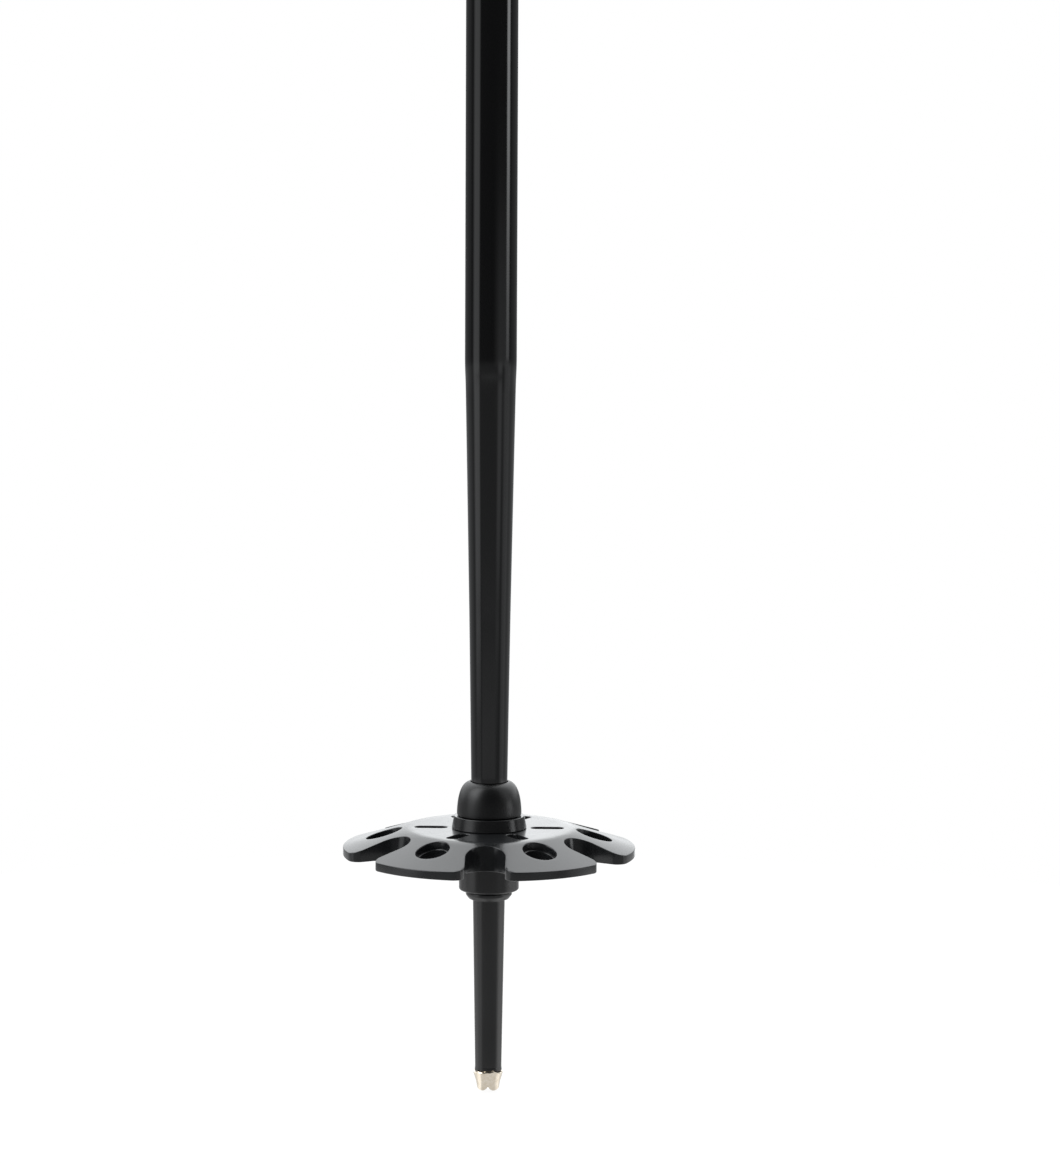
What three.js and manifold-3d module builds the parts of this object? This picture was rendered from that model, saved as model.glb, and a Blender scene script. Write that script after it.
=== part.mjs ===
// A ski pole with a six-lobed powder basket, as separate pieces.
// Millimetres, +Z up the pole, origin on the pole's axis at the lowest point of the steel tip.
// +Y is the side of the pole that the strap hangs on.

import * as THREE from 'three'
import { mergeVertices } from 'three/addons/utils/BufferGeometryUtils.js'
import Module from 'manifold-3d'

const wasm = await Module()
wasm.setup()

// ---- driving dimensions ----

const POLE_LENGTH = 1200
const GAP = 0.3 // between pieces that rest on each other
const GLUE_GAP = 0.15 // on each side of the adhesive
const ROUND = 28 // facets of a turned piece
const GRIP_RINGS = 16
const GRIP_FACETS = 28
const OVERRUN = 1 // how far a cutting shape reaches past what it cuts
const STRAP_STEPS = 3 // between two points of its line

// tip and ferrule, from the ground up
const CROWN_TOP = 6.6
const CROWN_RADIUS = 5.0
const SHANK_RADIUS = 2.5
const SHANK_TOP = 26
const TEETH = 4
const HOLLOW_RADIUS = 2.2
const HOLLOW_DEPTH = 2.6
const FLUTE_RADIUS = 1.35
const FLUTE_TILT = -12 // degrees
const CONE_LOW_RADIUS = 4.6
const CONE_TOP = 68.2
const CONE_TOP_RADIUS = 5.6
const BEAD_RADIUS = 8.1
const BEAD_TOP = 71.1
const NECK_RADIUS = 7.5 // the groove that the basket turns on
const FLANGE_RADIUS = 9.6
const SOCKET_RADIUS = 6.3
const SOCKET_FLOOR = 74
const FLANGE_HEIGHT = 3
const FLANGE_CONE = 2.4 // below the flange
const BODY_TOP = 7.5 // above the dome's foot

// basket
const BASKET_RADIUS = 51
const HUB_BOTTOM = 71.4
const HUB_RADIUS = 10.5
const HUB_RING_RADIUS = 13.05
const HUB_RING_TOP_RADIUS = 12.25
const HUB_RING_TOP = 97.8
const DISC_TOP = 93.4
const DISC_FLAT_RADIUS = 29.3
const RIM_TOP = 86.7 // at the basket's edge
const RIM_BOTTOM = 83.8
const SKIN = 2.5
const WALL = 2.6
const LOBES = 6
const NOTCH_WIDTH = 13.8
const NOTCH_END_RADIUS = 31.7 // where the notch's round inner end lies
const LOBE_CORNER = 3.6
const LOBE_ROUND = 43 // radius of a lobe's outer edge, rounder than the basket
const HOLE_CENTRE_RADIUS = 36.7
const HOLE_LENGTH = 12.5
const HOLE_WIDTH = 11.4
const HOLE_LEDGE = 0.6 // the boss under the skin stands in from the hole
const HOLE_BOSS = 1.2 // and reaches past it
const SLOT_FROM = 14.6
const SLOT_TO = 26
const SLOT_WIDTH = 4
const COLLAR_WALL = 3 // round the hub, below the skin

// shaft and dome
const SHAFT_RADIUS = 9
const SHAFT_WALL = 1
const SWAGE_TOP = 255.5
const SHAFT_NECK_RADIUS = 6.33
const SHAFT_END_RADIUS = 5.4
const DOME_BOTTOM = 98.1
const DOME_HEIGHT = 12.1 // at its crown, inside the shaft
const DOME_RADIUS = 11.28
const DOME_SQUARENESS = 5.8
const PLUG_HOLE_RADIUS = 2.6

// grip
const SHAFT_TOP = 1156
const COLLAR_BOTTOM = 1036
const SLEEVE_BOTTOM = 1044
const SLEEVE_TOP = 1161
const HEAD_TOP = 1192
const CORE_RADIUS = 11.4
const CORE_BOTTOM = 1046
const INLAY_Z = 1100
const INLAY_HALF_WIDTH = 5
const INLAY_HALF_HEIGHT = 34
const INLAY_THICKNESS = 1.2
const SCREW_SEAT = 1182 // floor of the screw's room in the head
const SCREW_ROOM_RADIUS = 7.2
const SCREW_RADIUS = 2.3
const SCREW_HEAD_RADIUS = 4.4
const SCREW_HEAD_HEIGHT = 2.6
const WASHER_RADIUS = 6.2
const WASHER_THICKNESS = 1
const PIN_RADIUS = 2
const PIN_Y = 22.5
const PIN_Z = 1178
const PIN_LENGTH = 30

// strap
const WEBBING_WIDTH = 19
const WEBBING_THICKNESS = 1.6
const STRAP_BOTTOM = 975
const STRAP_FAR_Y = 48
const KEEPER_Z = 1144
const KEEPER_HALF_HEIGHT = 6
const KEEPER_WALL = 1.6
const LINING_THICKNESS = 2.4
const LINING_OVERHANG = 7 // wider than the webbing
// places on the strap's line, in points along it
const LINING_FROM = 8.7
const LINING_TO = 11.2
const TAB_FROM = 11.6
const TAB_TO = 12.4

// ---- materials ----

function finish(color, roughness, metalness) {
  return new THREE.MeshStandardMaterial({ color, roughness, metalness })
}

const lacquer = () => finish(0x0c0c0d, 0.12, 0)
const glossPlastic = () => finish(0x121213, 0.25, 0)
const satinPlastic = () => finish(0x1a1a1b, 0.45, 0)
const softRubber = () => finish(0x161616, 0.8, 0)
const steel = () => finish(0xd9cbb6, 0.25, 1)
const zinc = () => finish(0x9a9ca0, 0.4, 1)
const webbing = () => finish(0x141416, 0.95, 0)
const glue = () => finish(0xb89a5a, 0.5, 0)

// ---- solids ----

const degrees = (angle) => (angle * Math.PI) / 180
const at = (radius, angle) => [radius * Math.cos(angle), radius * Math.sin(angle)]

function toSolid(geometry) {
  const bare = geometry.clone()
  bare.deleteAttribute('normal')
  bare.deleteAttribute('uv')
  const merged = mergeVertices(bare, 1e-4)
  const vertices = merged.attributes.position.array
  const all = merged.index.array
  const kept = []
  let volume = 0
  for (let i = 0; i < all.length; i += 3) {
    const [a, b, c] = [all[i], all[i + 1], all[i + 2]]
    if (a === b || b === c || c === a) continue
    kept.push(a, b, c)
    const corner = [a, b, c].map((v) => new THREE.Vector3().fromArray(vertices, 3 * v))
    volume += corner[0].dot(corner[1].cross(corner[2]))
  }
  if (volume < 0) kept.reverse()
  const mesh = new wasm.Mesh({
    numProp: 3,
    vertProperties: Float32Array.from(vertices),
    triVerts: Uint32Array.from(kept),
  })
  return new wasm.Manifold(mesh)
}

function toGeometry(solid) {
  const mesh = solid.getMesh()
  const geometry = new THREE.BufferGeometry()
  geometry.setAttribute('position', new THREE.BufferAttribute(Float32Array.from(mesh.vertProperties), 3))
  geometry.setIndex(new THREE.BufferAttribute(Uint32Array.from(mesh.triVerts), 1))
  geometry.computeVertexNormals()
  return geometry
}

// A profile of [radius, z] pairs, turned about the pole's axis.
function turned(profile, segments = ROUND) {
  const points = profile.map(([radius, z]) => new THREE.Vector2(radius, z))
  const onAxis = profile[0][0] === 0 && profile[profile.length - 1][0] === 0
  if (!onAxis) points.push(points[0].clone())
  return toSolid(new THREE.LatheGeometry(points, segments).rotateX(Math.PI / 2))
}

function ring(inner, outer, low, high, segments = ROUND) {
  return turned([[inner, low], [outer, low], [outer, high], [inner, high]], segments)
}

function disc(radius, low, high, segments = ROUND) {
  return turned([[0, low], [radius, low], [radius, high], [0, high]], segments)
}

function block(x, y, z) {
  const box = new THREE.BoxGeometry(x[1] - x[0], y[1] - y[0], z[1] - z[0])
  return toSolid(box.translate((x[0] + x[1]) / 2, (y[0] + y[1]) / 2, (z[0] + z[1]) / 2))
}

// A flat outline standing along Z.
function prism(shape, low, high, curveSegments = 6) {
  const settings = { depth: high - low, bevelEnabled: false, curveSegments }
  return toSolid(new THREE.ExtrudeGeometry(shape, settings).translate(0, 0, low))
}

// An outline drawn in Y and Z, standing along X and centred on X = 0.
function slab(shape, width) {
  const settings = { depth: width, bevelEnabled: false, curveSegments: 12 }
  const extruded = new THREE.ExtrudeGeometry(shape, settings).translate(0, 0, -width / 2)
  const stand = new THREE.Matrix4().set(0, 0, 1, 0, 1, 0, 0, 0, 0, 1, 0, 0, 0, 0, 0, 1)
  return toSolid(extruded.applyMatrix4(stand))
}

function rod(radius, x, y, z, segments = 24) {
  const cylinder = new THREE.CylinderGeometry(radius, radius, x[1] - x[0], segments)
  return toSolid(cylinder.rotateZ(Math.PI / 2).translate((x[0] + x[1]) / 2, y, z))
}

// A closed skin through rings of points: pointAt(turn 0..1, height 0..1) gives [x, y, z].
function lofted(pointAt, rings, segments = ROUND) {
  const positions = []
  const faces = []
  for (let i = 0; i <= rings; i++) {
    for (let j = 0; j < segments; j++) positions.push(...pointAt(j / segments, i / rings))
  }
  const index = (i, j) => i * segments + (j % segments)
  for (let i = 0; i < rings; i++) {
    for (let j = 0; j < segments; j++) {
      faces.push(index(i, j), index(i, j + 1), index(i + 1, j + 1))
      faces.push(index(i, j), index(i + 1, j + 1), index(i + 1, j))
    }
  }
  for (const end of [0, rings]) {
    const middle = positions.length / 3
    const [, , z] = pointAt(0, end / rings)
    const y = (pointAt(0.25, end / rings)[1] + pointAt(0.75, end / rings)[1]) / 2
    positions.push(0, y, z)
    for (let j = 0; j < segments; j++) {
      const edge = end === 0 ? [index(end, j + 1), index(end, j)] : [index(end, j), index(end, j + 1)]
      faces.push(middle, ...edge)
    }
  }
  const geometry = new THREE.BufferGeometry()
  geometry.setAttribute('position', new THREE.Float32BufferAttribute(positions, 3))
  geometry.setIndex(faces)
  return toSolid(geometry)
}

// ---- tip ----

// Hardened steel tip: a shank in the ferrule and a crown with teeth around a hollow.
function tipCrown() {
  const shank = disc(SHANK_RADIUS, CROWN_TOP - OVERRUN, SHANK_TOP)
  const outside = [
    [0, 0],
    [3.4, 0],
    [4.1, 0.9],
    [4.5, 3.2],
    [CROWN_RADIUS, CROWN_TOP - 0.4],
    [CROWN_RADIUS, CROWN_TOP],
    [0, CROWN_TOP],
  ]
  const hollow = [[0, -OVERRUN], [HOLLOW_RADIUS, -OVERRUN], [0.7 * HOLLOW_RADIUS, 1.4], [0, HOLLOW_DEPTH]]
  let crown = turned(outside).subtract(turned(hollow))
  for (let i = 0; i < TEETH; i++) {
    const flute = new THREE.CylinderGeometry(FLUTE_RADIUS, FLUTE_RADIUS, 8, 12)
    flute.rotateZ(Math.PI / 2).translate(CROWN_RADIUS, 0, 0)
    flute.rotateY(degrees(FLUTE_TILT)).rotateZ((2 * Math.PI * i) / TEETH)
    crown = crown.subtract(toSolid(flute))
  }
  return crown.add(shank)
}

// ---- ferrule ----

// Moulded body: cone, snap bead, turning neck, flange, and the socket that takes the shaft.
function ferruleBody() {
  const low = CROWN_TOP + GAP
  const outside = turned([
    [0, low],
    [CONE_LOW_RADIUS, low],
    [CONE_TOP_RADIUS, CONE_TOP],
    [6.6, CONE_TOP + 0.3],
    [7.6, CONE_TOP + 1],
    [BEAD_RADIUS, CONE_TOP + 2.2],
    [BEAD_RADIUS, BEAD_TOP - 0.4],
    [NECK_RADIUS, BEAD_TOP],
    [NECK_RADIUS, DOME_BOTTOM - FLANGE_CONE],
    [FLANGE_RADIUS, DOME_BOTTOM],
    [FLANGE_RADIUS, DOME_BOTTOM + FLANGE_HEIGHT],
    [NECK_RADIUS, DOME_BOTTOM + FLANGE_HEIGHT + 1],
    [NECK_RADIUS, DOME_BOTTOM + BODY_TOP],
    [0, DOME_BOTTOM + BODY_TOP],
  ])
  const socket = disc(SOCKET_RADIUS, SOCKET_FLOOR, DOME_BOTTOM + BODY_TOP + OVERRUN)
  const pocket = disc(SHANK_RADIUS + GLUE_GAP, low - OVERRUN, SHANK_TOP + GAP)
  return outside.subtract(socket).subtract(pocket)
}

function ferruleAdhesive() {
  const inner = SHAFT_END_RADIUS + GLUE_GAP
  const outer = SOCKET_RADIUS - GLUE_GAP
  return ring(inner, outer, SOCKET_FLOOR + GAP, DOME_BOTTOM + 1)
}

// Height of the dome's outside at a radius, a quarter of a squared oval.
const domeHeight = (share) => DOME_HEIGHT * Math.sqrt(1 - Math.pow(share, DOME_SQUARENESS))

// Soft dome pressed over the flange, closing the joint between the shaft and the ferrule.
function ferruleDome() {
  const steps = 9
  const lip = SHAFT_NECK_RADIUS + GAP
  const outside = [[0, DOME_BOTTOM]]
  for (let i = 0; i <= steps; i++) {
    const share = Math.cos(((Math.PI / 2) * i) / steps)
    outside.push([DOME_RADIUS * share, DOME_BOTTOM + domeHeight(share)])
  }
  const inside = turned([
    [0, DOME_BOTTOM - OVERRUN],
    [FLANGE_RADIUS + GAP, DOME_BOTTOM - OVERRUN],
    [FLANGE_RADIUS + GAP, DOME_BOTTOM + FLANGE_HEIGHT + GAP],
    [NECK_RADIUS + GAP, DOME_BOTTOM + FLANGE_HEIGHT + 1 + GAP],
    [NECK_RADIUS + GAP, DOME_BOTTOM + BODY_TOP + GAP],
    [lip, DOME_BOTTOM + BODY_TOP + 1],
    [lip, DOME_BOTTOM + DOME_HEIGHT + OVERRUN],
    [0, DOME_BOTTOM + DOME_HEIGHT + OVERRUN],
  ])
  return turned(outside).subtract(inside)
}

// ---- shaft ----

// Outside of the tube, from the end in the socket to the top: [radius, z].
const SHAFT_PROFILE = [
  [SHAFT_END_RADIUS, SOCKET_FLOOR + 1],
  [SHAFT_END_RADIUS, DOME_BOTTOM + 2],
  [SHAFT_NECK_RADIUS, DOME_BOTTOM + 10.5],
  [6.86, 147],
  [7.18, 168],
  [8.72, 250],
  [SHAFT_RADIUS, SWAGE_TOP],
  [SHAFT_RADIUS, SHAFT_TOP],
]

function shaftTube() {
  const inside = SHAFT_PROFILE.map(([radius, z]) => [radius - SHAFT_WALL, z]).reverse()
  return turned([...SHAFT_PROFILE, ...inside])
}

// Plug in the swaged end that keeps snow and adhesive out of the tube.
function shaftLowerPlug() {
  const radius = SHAFT_END_RADIUS - SHAFT_WALL - GLUE_GAP
  return disc(radius, SOCKET_FLOOR + 1, SOCKET_FLOOR + 13)
}

// Plug in the top end that the grip's screw bites into.
function shaftTopPlug() {
  const low = SHAFT_TOP - 34
  const body = disc(SHAFT_RADIUS - SHAFT_WALL - GLUE_GAP, low, SHAFT_TOP + 1)
  const lip = disc(SHAFT_RADIUS, SHAFT_TOP + GAP, SHAFT_TOP + 2)
  const hole = disc(PLUG_HOLE_RADIUS, low + 8, SHAFT_TOP + 2 + OVERRUN)
  return body.add(lip).subtract(hole)
}

// ---- basket ----

// Outline of the lobes, drawn inward by an inset; notches with round inner ends part them.
function lobedOutline(inset) {
  const half = NOTCH_WIDTH / 2 + inset
  const corner = LOBE_CORNER - inset / 2
  const across = half + corner
  const centre = BASKET_RADIUS - LOBE_ROUND
  const rim = LOBE_ROUND - inset
  const halfStep = Math.PI / LOBES
  const [ahead, beside] = at(centre, halfStep)
  const along = ahead + Math.sqrt((rim - corner) ** 2 - (across - beside) ** 2)
  const slant = halfStep - Math.atan2(across - beside, along - ahead)
  const place = (direction, out, aside) => {
    const [x, y] = at(out, direction)
    return [x - aside * Math.sin(direction), y + aside * Math.cos(direction)]
  }
  const shape = new THREE.Shape()
  for (let i = 0; i < LOBES; i++) {
    const lobe = 2 * halfStep * i
    const before = lobe - halfStep
    const after = lobe + halfStep
    const notch = NOTCH_END_RADIUS + NOTCH_WIDTH / 2
    shape.absarc(...place(before, along, across), corner, before - Math.PI / 2, lobe - slant, false)
    shape.absarc(...at(centre, lobe), rim, lobe - slant, lobe + slant, false)
    shape.absarc(...place(after, along, -across), corner, lobe + slant, after + Math.PI / 2, false)
    shape.absarc(...at(notch, after), half, after - Math.PI / 2, after - (3 * Math.PI) / 2, true)
  }
  shape.closePath()
  return shape
}

// Everything under a surface parallel to the disc's top, lowered by a depth.
function underTop(depth, bottom, segments = 48) {
  const beyond = BASKET_RADIUS + 3 * OVERRUN
  const slope = (DISC_TOP - RIM_TOP) / (BASKET_RADIUS - DISC_FLAT_RADIUS)
  return turned(
    [
      [0, bottom],
      [beyond, bottom],
      [beyond, RIM_TOP - depth - slope * (beyond - BASKET_RADIUS)],
      [DISC_FLAT_RADIUS, DISC_TOP - depth],
      [0, DISC_TOP - depth],
    ],
    segments,
  )
}

// An upright prism on a lobe's hole, wider than the hole all round by an amount.
function lobeHole(turn, grow) {
  const shape = new THREE.Shape()
  const radii = [HOLE_LENGTH / 2 + grow, HOLE_WIDTH / 2 + grow]
  shape.absellipse(HOLE_CENTRE_RADIUS, 0, ...radii, 0, 2 * Math.PI, false, 0)
  return prism(shape, RIM_BOTTOM - OVERRUN, DISC_TOP + OVERRUN).rotate([0, 0, turn])
}

function lobeSlot(turn) {
  const half = SLOT_WIDTH / 2
  const shape = new THREE.Shape()
  shape.absarc(SLOT_TO - half, 0, half, -Math.PI / 2, Math.PI / 2, false)
  shape.absarc(SLOT_FROM + half, 0, half, Math.PI / 2, (3 * Math.PI) / 2, false)
  shape.closePath()
  return prism(shape, RIM_BOTTOM - OVERRUN, DISC_TOP + OVERRUN).rotate([0, 0, turn])
}

// Moulded shell, open below: a skin, a wall around the lobes, a boss under each hole and a collar around the hub.
function basketDisc() {
  const below = RIM_BOTTOM - OVERRUN
  const underSkin = underTop(SKIN, below - OVERRUN)
  let shell = prism(lobedOutline(0), RIM_BOTTOM, DISC_TOP).intersect(underTop(0, below))
  let hollow = prism(lobedOutline(WALL), below, DISC_TOP - SKIN).intersect(underSkin)
  hollow = hollow.subtract(disc(HUB_RADIUS + COLLAR_WALL, below - OVERRUN, DISC_TOP))
  for (let i = 0; i < LOBES; i++) hollow = hollow.subtract(lobeHole((360 / LOBES) * i, HOLE_BOSS))
  shell = shell.subtract(hollow)
  for (let i = 0; i < LOBES; i++) {
    const turn = (360 / LOBES) * i
    shell = shell.subtract(lobeHole(turn, 0).subtract(underSkin)).subtract(lobeHole(turn, -HOLE_LEDGE))
    shell = shell.subtract(lobeSlot(turn))
  }
  return shell.subtract(disc(HUB_RADIUS + GAP, below, DISC_TOP + OVERRUN))
}

// Hard bushing through the disc: the ring on top, the sleeve below, and a bore that snaps over the bead.
function basketHub() {
  const bore = NECK_RADIUS + GAP
  const mouth = DOME_BOTTOM - FLANGE_CONE - 2 * GAP
  return turned([
    [bore, HUB_BOTTOM],
    [HUB_RADIUS - 0.9, HUB_BOTTOM],
    [HUB_RADIUS, HUB_BOTTOM + 1],
    [HUB_RADIUS, DISC_TOP + GAP],
    [HUB_RING_RADIUS - 0.5, DISC_TOP + GAP],
    [HUB_RING_RADIUS, DISC_TOP + 1],
    [HUB_RING_RADIUS, DISC_TOP + 1.7],
    [HUB_RING_TOP_RADIUS, HUB_RING_TOP - 0.3],
    [HUB_RING_TOP_RADIUS - 0.4, HUB_RING_TOP],
    [FLANGE_RADIUS + 0.3, HUB_RING_TOP],
    [bore, mouth],
  ])
}

// ---- grip ----

const smooth = (x) => x * x * (3 - 2 * x)
const ramp = (x, from, to) => smooth(Math.min(1, Math.max(0, (x - from) / (to - from))))

// Outside of the hand grip at a height: four finger hollows in front, a palm swell behind.
function gripPoint(turn, height) {
  const angle = 2 * Math.PI * turn
  const z = SLEEVE_BOTTOM + height * (SLEEVE_TOP - SLEEVE_BOTTOM)
  const front = Math.max(0, -Math.sin(angle))
  const waves = 0.9 * Math.cos(2 * Math.PI * 4 * (height - 0.06)) * front * ramp(height, 0, 0.12)
  const foot = 1.6 * (1 - ramp(height, 0, 0.14))
  const shoulder = 2.4 * ramp(height, 0.82, 1)
  const across = 13.6 + foot + shoulder
  const along = 15.2 + foot + shoulder + waves + (Math.sin(angle) > 0 ? -0.6 * Math.sin(angle) : 0)
  return [across * Math.cos(angle), along * Math.sin(angle), z]
}

// The grip's outside drawn inward by a depth.
function gripSkin(depth) {
  const drawnIn = (turn, height) => {
    const [x, y, z] = gripPoint(turn, height)
    const [dx, dy] = at(depth, 2 * Math.PI * turn)
    return [x - dx, y - dy, z]
  }
  return lofted(drawnIn, GRIP_RINGS, GRIP_FACETS)
}

// One side's oval, standing through the grip's skin.
function inlayRoom(side, inset) {
  const outline = new THREE.Shape()
  const radii = [INLAY_HALF_WIDTH - inset, INLAY_HALF_HEIGHT - inset]
  outline.absellipse(0, INLAY_Z, ...radii, 0, 2 * Math.PI, false, 0)
  const reach = 30
  const across = side > 0 ? [0, reach] : [-reach, 0]
  const half = block(across, [-reach, reach], [CORE_BOTTOM, HEAD_TOP])
  return slab(outline, 2 * reach).intersect(half)
}

// Soft sleeve over the core, with a shallow oval pocket in each side.
function gripSleeve() {
  const floor = gripSkin(INLAY_THICKNESS + GAP)
  const bore = disc(CORE_RADIUS + GAP, SLEEVE_BOTTOM - OVERRUN, SLEEVE_TOP + OVERRUN)
  let sleeve = gripSkin(0).subtract(bore)
  for (const side of [-1, 1]) sleeve = sleeve.subtract(inlayRoom(side, 0).subtract(floor))
  return sleeve
}

// Insert let into a side of the grip.
function gripInlay(side) {
  return gripSkin(0).subtract(gripSkin(INLAY_THICKNESS)).intersect(inlayRoom(side, GAP))
}

function gripCore() {
  return ring(SHAFT_RADIUS + GLUE_GAP, CORE_RADIUS, CORE_BOTTOM, SLEEVE_TOP - GAP)
}

function gripCollar() {
  return turned([
    [SHAFT_RADIUS + GLUE_GAP, COLLAR_BOTTOM],
    [SHAFT_RADIUS + 1.6, COLLAR_BOTTOM],
    [13.6, SLEEVE_BOTTOM - 3.4],
    [14.6, SLEEVE_BOTTOM - GAP],
    [SHAFT_RADIUS + GLUE_GAP, SLEEVE_BOTTOM - GAP],
  ])
}

// Outside of the head: wider than the grip and drawn out behind to hold the strap.
function headPoint(turn, height) {
  const angle = 2 * Math.PI * turn
  const z = SLEEVE_TOP + GAP + height * (HEAD_TOP - SLEEVE_TOP - GAP)
  const grow = ramp(height, 0, 0.55)
  const close = 1.8 * ramp(height, 0.8, 1)
  const across = 16.2 + 1.6 * grow - close
  const front = 17.6 + 2.4 * grow - close
  const back = 18.6 + 8.6 * grow - close
  const sine = Math.sin(angle)
  const cosine = Math.cos(angle)
  const power = sine > 0 ? 4.6 : 2.6 // squarer behind, where its cheeks hold the strap's pin
  const stretch = Math.pow(Math.pow(Math.abs(cosine), power) + Math.pow(Math.abs(sine), power), -1 / power)
  return [across * cosine * stretch, (sine > 0 ? back : front) * sine * stretch, z]
}

function gripHead() {
  const slotHalf = WEBBING_WIDTH / 2 + 1
  const slotFrom = PIN_Y - PIN_RADIUS - 2 * GAP - WEBBING_THICKNESS - 4 * GAP - 1.6
  const screwRoom = disc(SCREW_ROOM_RADIUS, SCREW_SEAT, HEAD_TOP + OVERRUN)
  const screwHole = disc(SCREW_RADIUS + 2 * GAP, SLEEVE_TOP - OVERRUN, HEAD_TOP)
  const slot = block([-slotHalf, slotHalf], [slotFrom, 2 * PIN_Y], [SLEEVE_TOP - OVERRUN, HEAD_TOP + OVERRUN])
  const pinHole = rod(PIN_RADIUS + GLUE_GAP, [-PIN_LENGTH, PIN_LENGTH], PIN_Y, PIN_Z)
  const body = lofted(headPoint, 9, GRIP_FACETS).subtract(screwRoom).subtract(screwHole)
  return body.subtract(slot).subtract(pinHole)
}

// Snap-in cap over the screw, with a flat crown.
function topCap() {
  const low = HEAD_TOP + GAP
  const crown = (turn, height) => {
    const [x, y] = headPoint(turn, 1)
    const shrink = 1 - 0.34 * Math.pow(height, 2.4)
    const backStop = Math.min(y, 15)
    return [x * shrink, backStop * shrink, low + height * (POLE_LENGTH - low)]
  }
  const plug = ring(5.2, 6.8, HEAD_TOP - 5, low + 1)
  return lofted(crown, 5, GRIP_FACETS).add(plug)
}

// Screw down the grip's axis into the shaft's top plug, with a hexagon socket.
function capScrew() {
  const underHead = SCREW_SEAT + WASHER_THICKNESS + 2 * GAP
  const headTop = underHead + SCREW_HEAD_HEIGHT
  const shank = turned([
    [0, SHAFT_TOP - 20],
    [0.7 * SCREW_RADIUS, SHAFT_TOP - 18],
    [SCREW_RADIUS, SHAFT_TOP - 15],
    [SCREW_RADIUS, underHead + OVERRUN],
    [0, underHead + OVERRUN],
  ])
  const hexagon = []
  for (let i = 0; i < 6; i++) hexagon.push(new THREE.Vector2(...at(1.9, (Math.PI / 3) * i)))
  const socket = prism(new THREE.Shape(hexagon), headTop - 1.6, headTop + OVERRUN)
  return shank.add(disc(SCREW_HEAD_RADIUS, underHead, headTop)).subtract(socket)
}

function screwWasher() {
  const seat = SCREW_SEAT + GAP / 2
  return ring(SCREW_RADIUS + GLUE_GAP, WASHER_RADIUS, seat, seat + WASHER_THICKNESS)
}

function strapPin() {
  return rod(PIN_RADIUS, [-PIN_LENGTH / 2, PIN_LENGTH / 2], PIN_Y, PIN_Z)
}

// ---- strap ----

// Middle line of the webbing in Y and Z: round the pin, down two close runs, out to the wrist loop.
function strapLine() {
  const eye = PIN_RADIUS + 2 * GAP + WEBBING_THICKNESS / 2
  const points = [
    [PIN_Y - eye, 1160],
    [PIN_Y - eye, 1147],
    [PIN_Y - eye, 1134],
    [PIN_Y - eye + 1, 1100],
    [PIN_Y - eye + 2, 1060],
    [PIN_Y - eye + 3, 1015],
    [PIN_Y - eye + 7, 988],
    [36, STRAP_BOTTOM],
    [STRAP_FAR_Y - 3, 987],
    [STRAP_FAR_Y, 1012],
    [STRAP_FAR_Y - 2, 1050],
    [STRAP_FAR_Y - 9, 1092],
    [PIN_Y + eye + 4, 1116],
    [PIN_Y + eye, 1134],
    [PIN_Y + eye, 1147],
    [PIN_Y + eye, 1160],
  ]
  for (let angle = 0; angle <= 180; angle += 30) {
    const [y, z] = at(eye, degrees(angle))
    points.push([PIN_Y + y, PIN_Z + z])
  }
  return new THREE.CatmullRomCurve3(points.map(([y, z]) => new THREE.Vector3(y, z, 0)), true, 'centripetal')
}

// Points beside the strap's middle line, from one of its points to another, counted along the line.
function besideStrap(from, to, offset) {
  const line = strapLine()
  const count = line.points.length
  const steps = Math.round((to - from) * STRAP_STEPS)
  const points = []
  for (let i = 0; i <= steps; i++) {
    const share = (from + ((to - from) * i) / steps) / count
    const place = line.getPoint(share)
    const run = line.getTangent(share)
    points.push(new THREE.Vector2(place.x - run.y * offset, place.y + run.x * offset))
  }
  return points
}

// A strip that lies beside the webbing, from one distance to another.
function besideStrip(from, to, near, far, width) {
  const shape = new THREE.Shape([...besideStrap(from, to, near), ...besideStrap(from, to, far).reverse()])
  return slab(shape, width)
}

function strapWebbing() {
  const half = WEBBING_THICKNESS / 2
  const count = strapLine().points.length
  const shape = new THREE.Shape(besideStrap(0, count, -half).slice(0, -1))
  shape.holes.push(new THREE.Path(besideStrap(0, count, half).slice(0, -1)))
  return slab(shape, WEBBING_WIDTH)
}

// Soft lining inside the wrist side of the loop.
function strapLining() {
  const near = WEBBING_THICKNESS / 2 + GAP
  return besideStrip(LINING_FROM, LINING_TO, near, near + LINING_THICKNESS, WEBBING_WIDTH + LINING_OVERHANG)
}

// Moulded keeper around both runs, below the head.
function strapKeeper() {
  const reach = PIN_RADIUS + 2 * GAP + WEBBING_THICKNESS + GAP
  const halfWidth = WEBBING_WIDTH / 2 + GAP
  const low = KEEPER_Z - KEEPER_HALF_HEIGHT
  const high = KEEPER_Z + KEEPER_HALF_HEIGHT
  const sides = [-halfWidth - KEEPER_WALL, halfWidth + KEEPER_WALL]
  const outside = block(sides, [PIN_Y - reach - 0.75 * KEEPER_WALL, PIN_Y + reach + KEEPER_WALL], [low, high])
  const heights = [low - OVERRUN, high + OVERRUN]
  return outside.subtract(block([-halfWidth, halfWidth], [PIN_Y - reach, PIN_Y + reach], heights))
}

// Sewn tab on the strap's free end, lying on the outer run.
function strapEndTab() {
  const near = WEBBING_THICKNESS / 2 + GAP
  return besideStrip(TAB_FROM, TAB_TO, -near, -near - WEBBING_THICKNESS, WEBBING_WIDTH)
}

// ---- assembly ----

const pole = new THREE.Group()

function piece(name, solid, material) {
  const mesh = new THREE.Mesh(toGeometry(solid), material)
  mesh.name = name
  pole.add(mesh)
}

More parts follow.
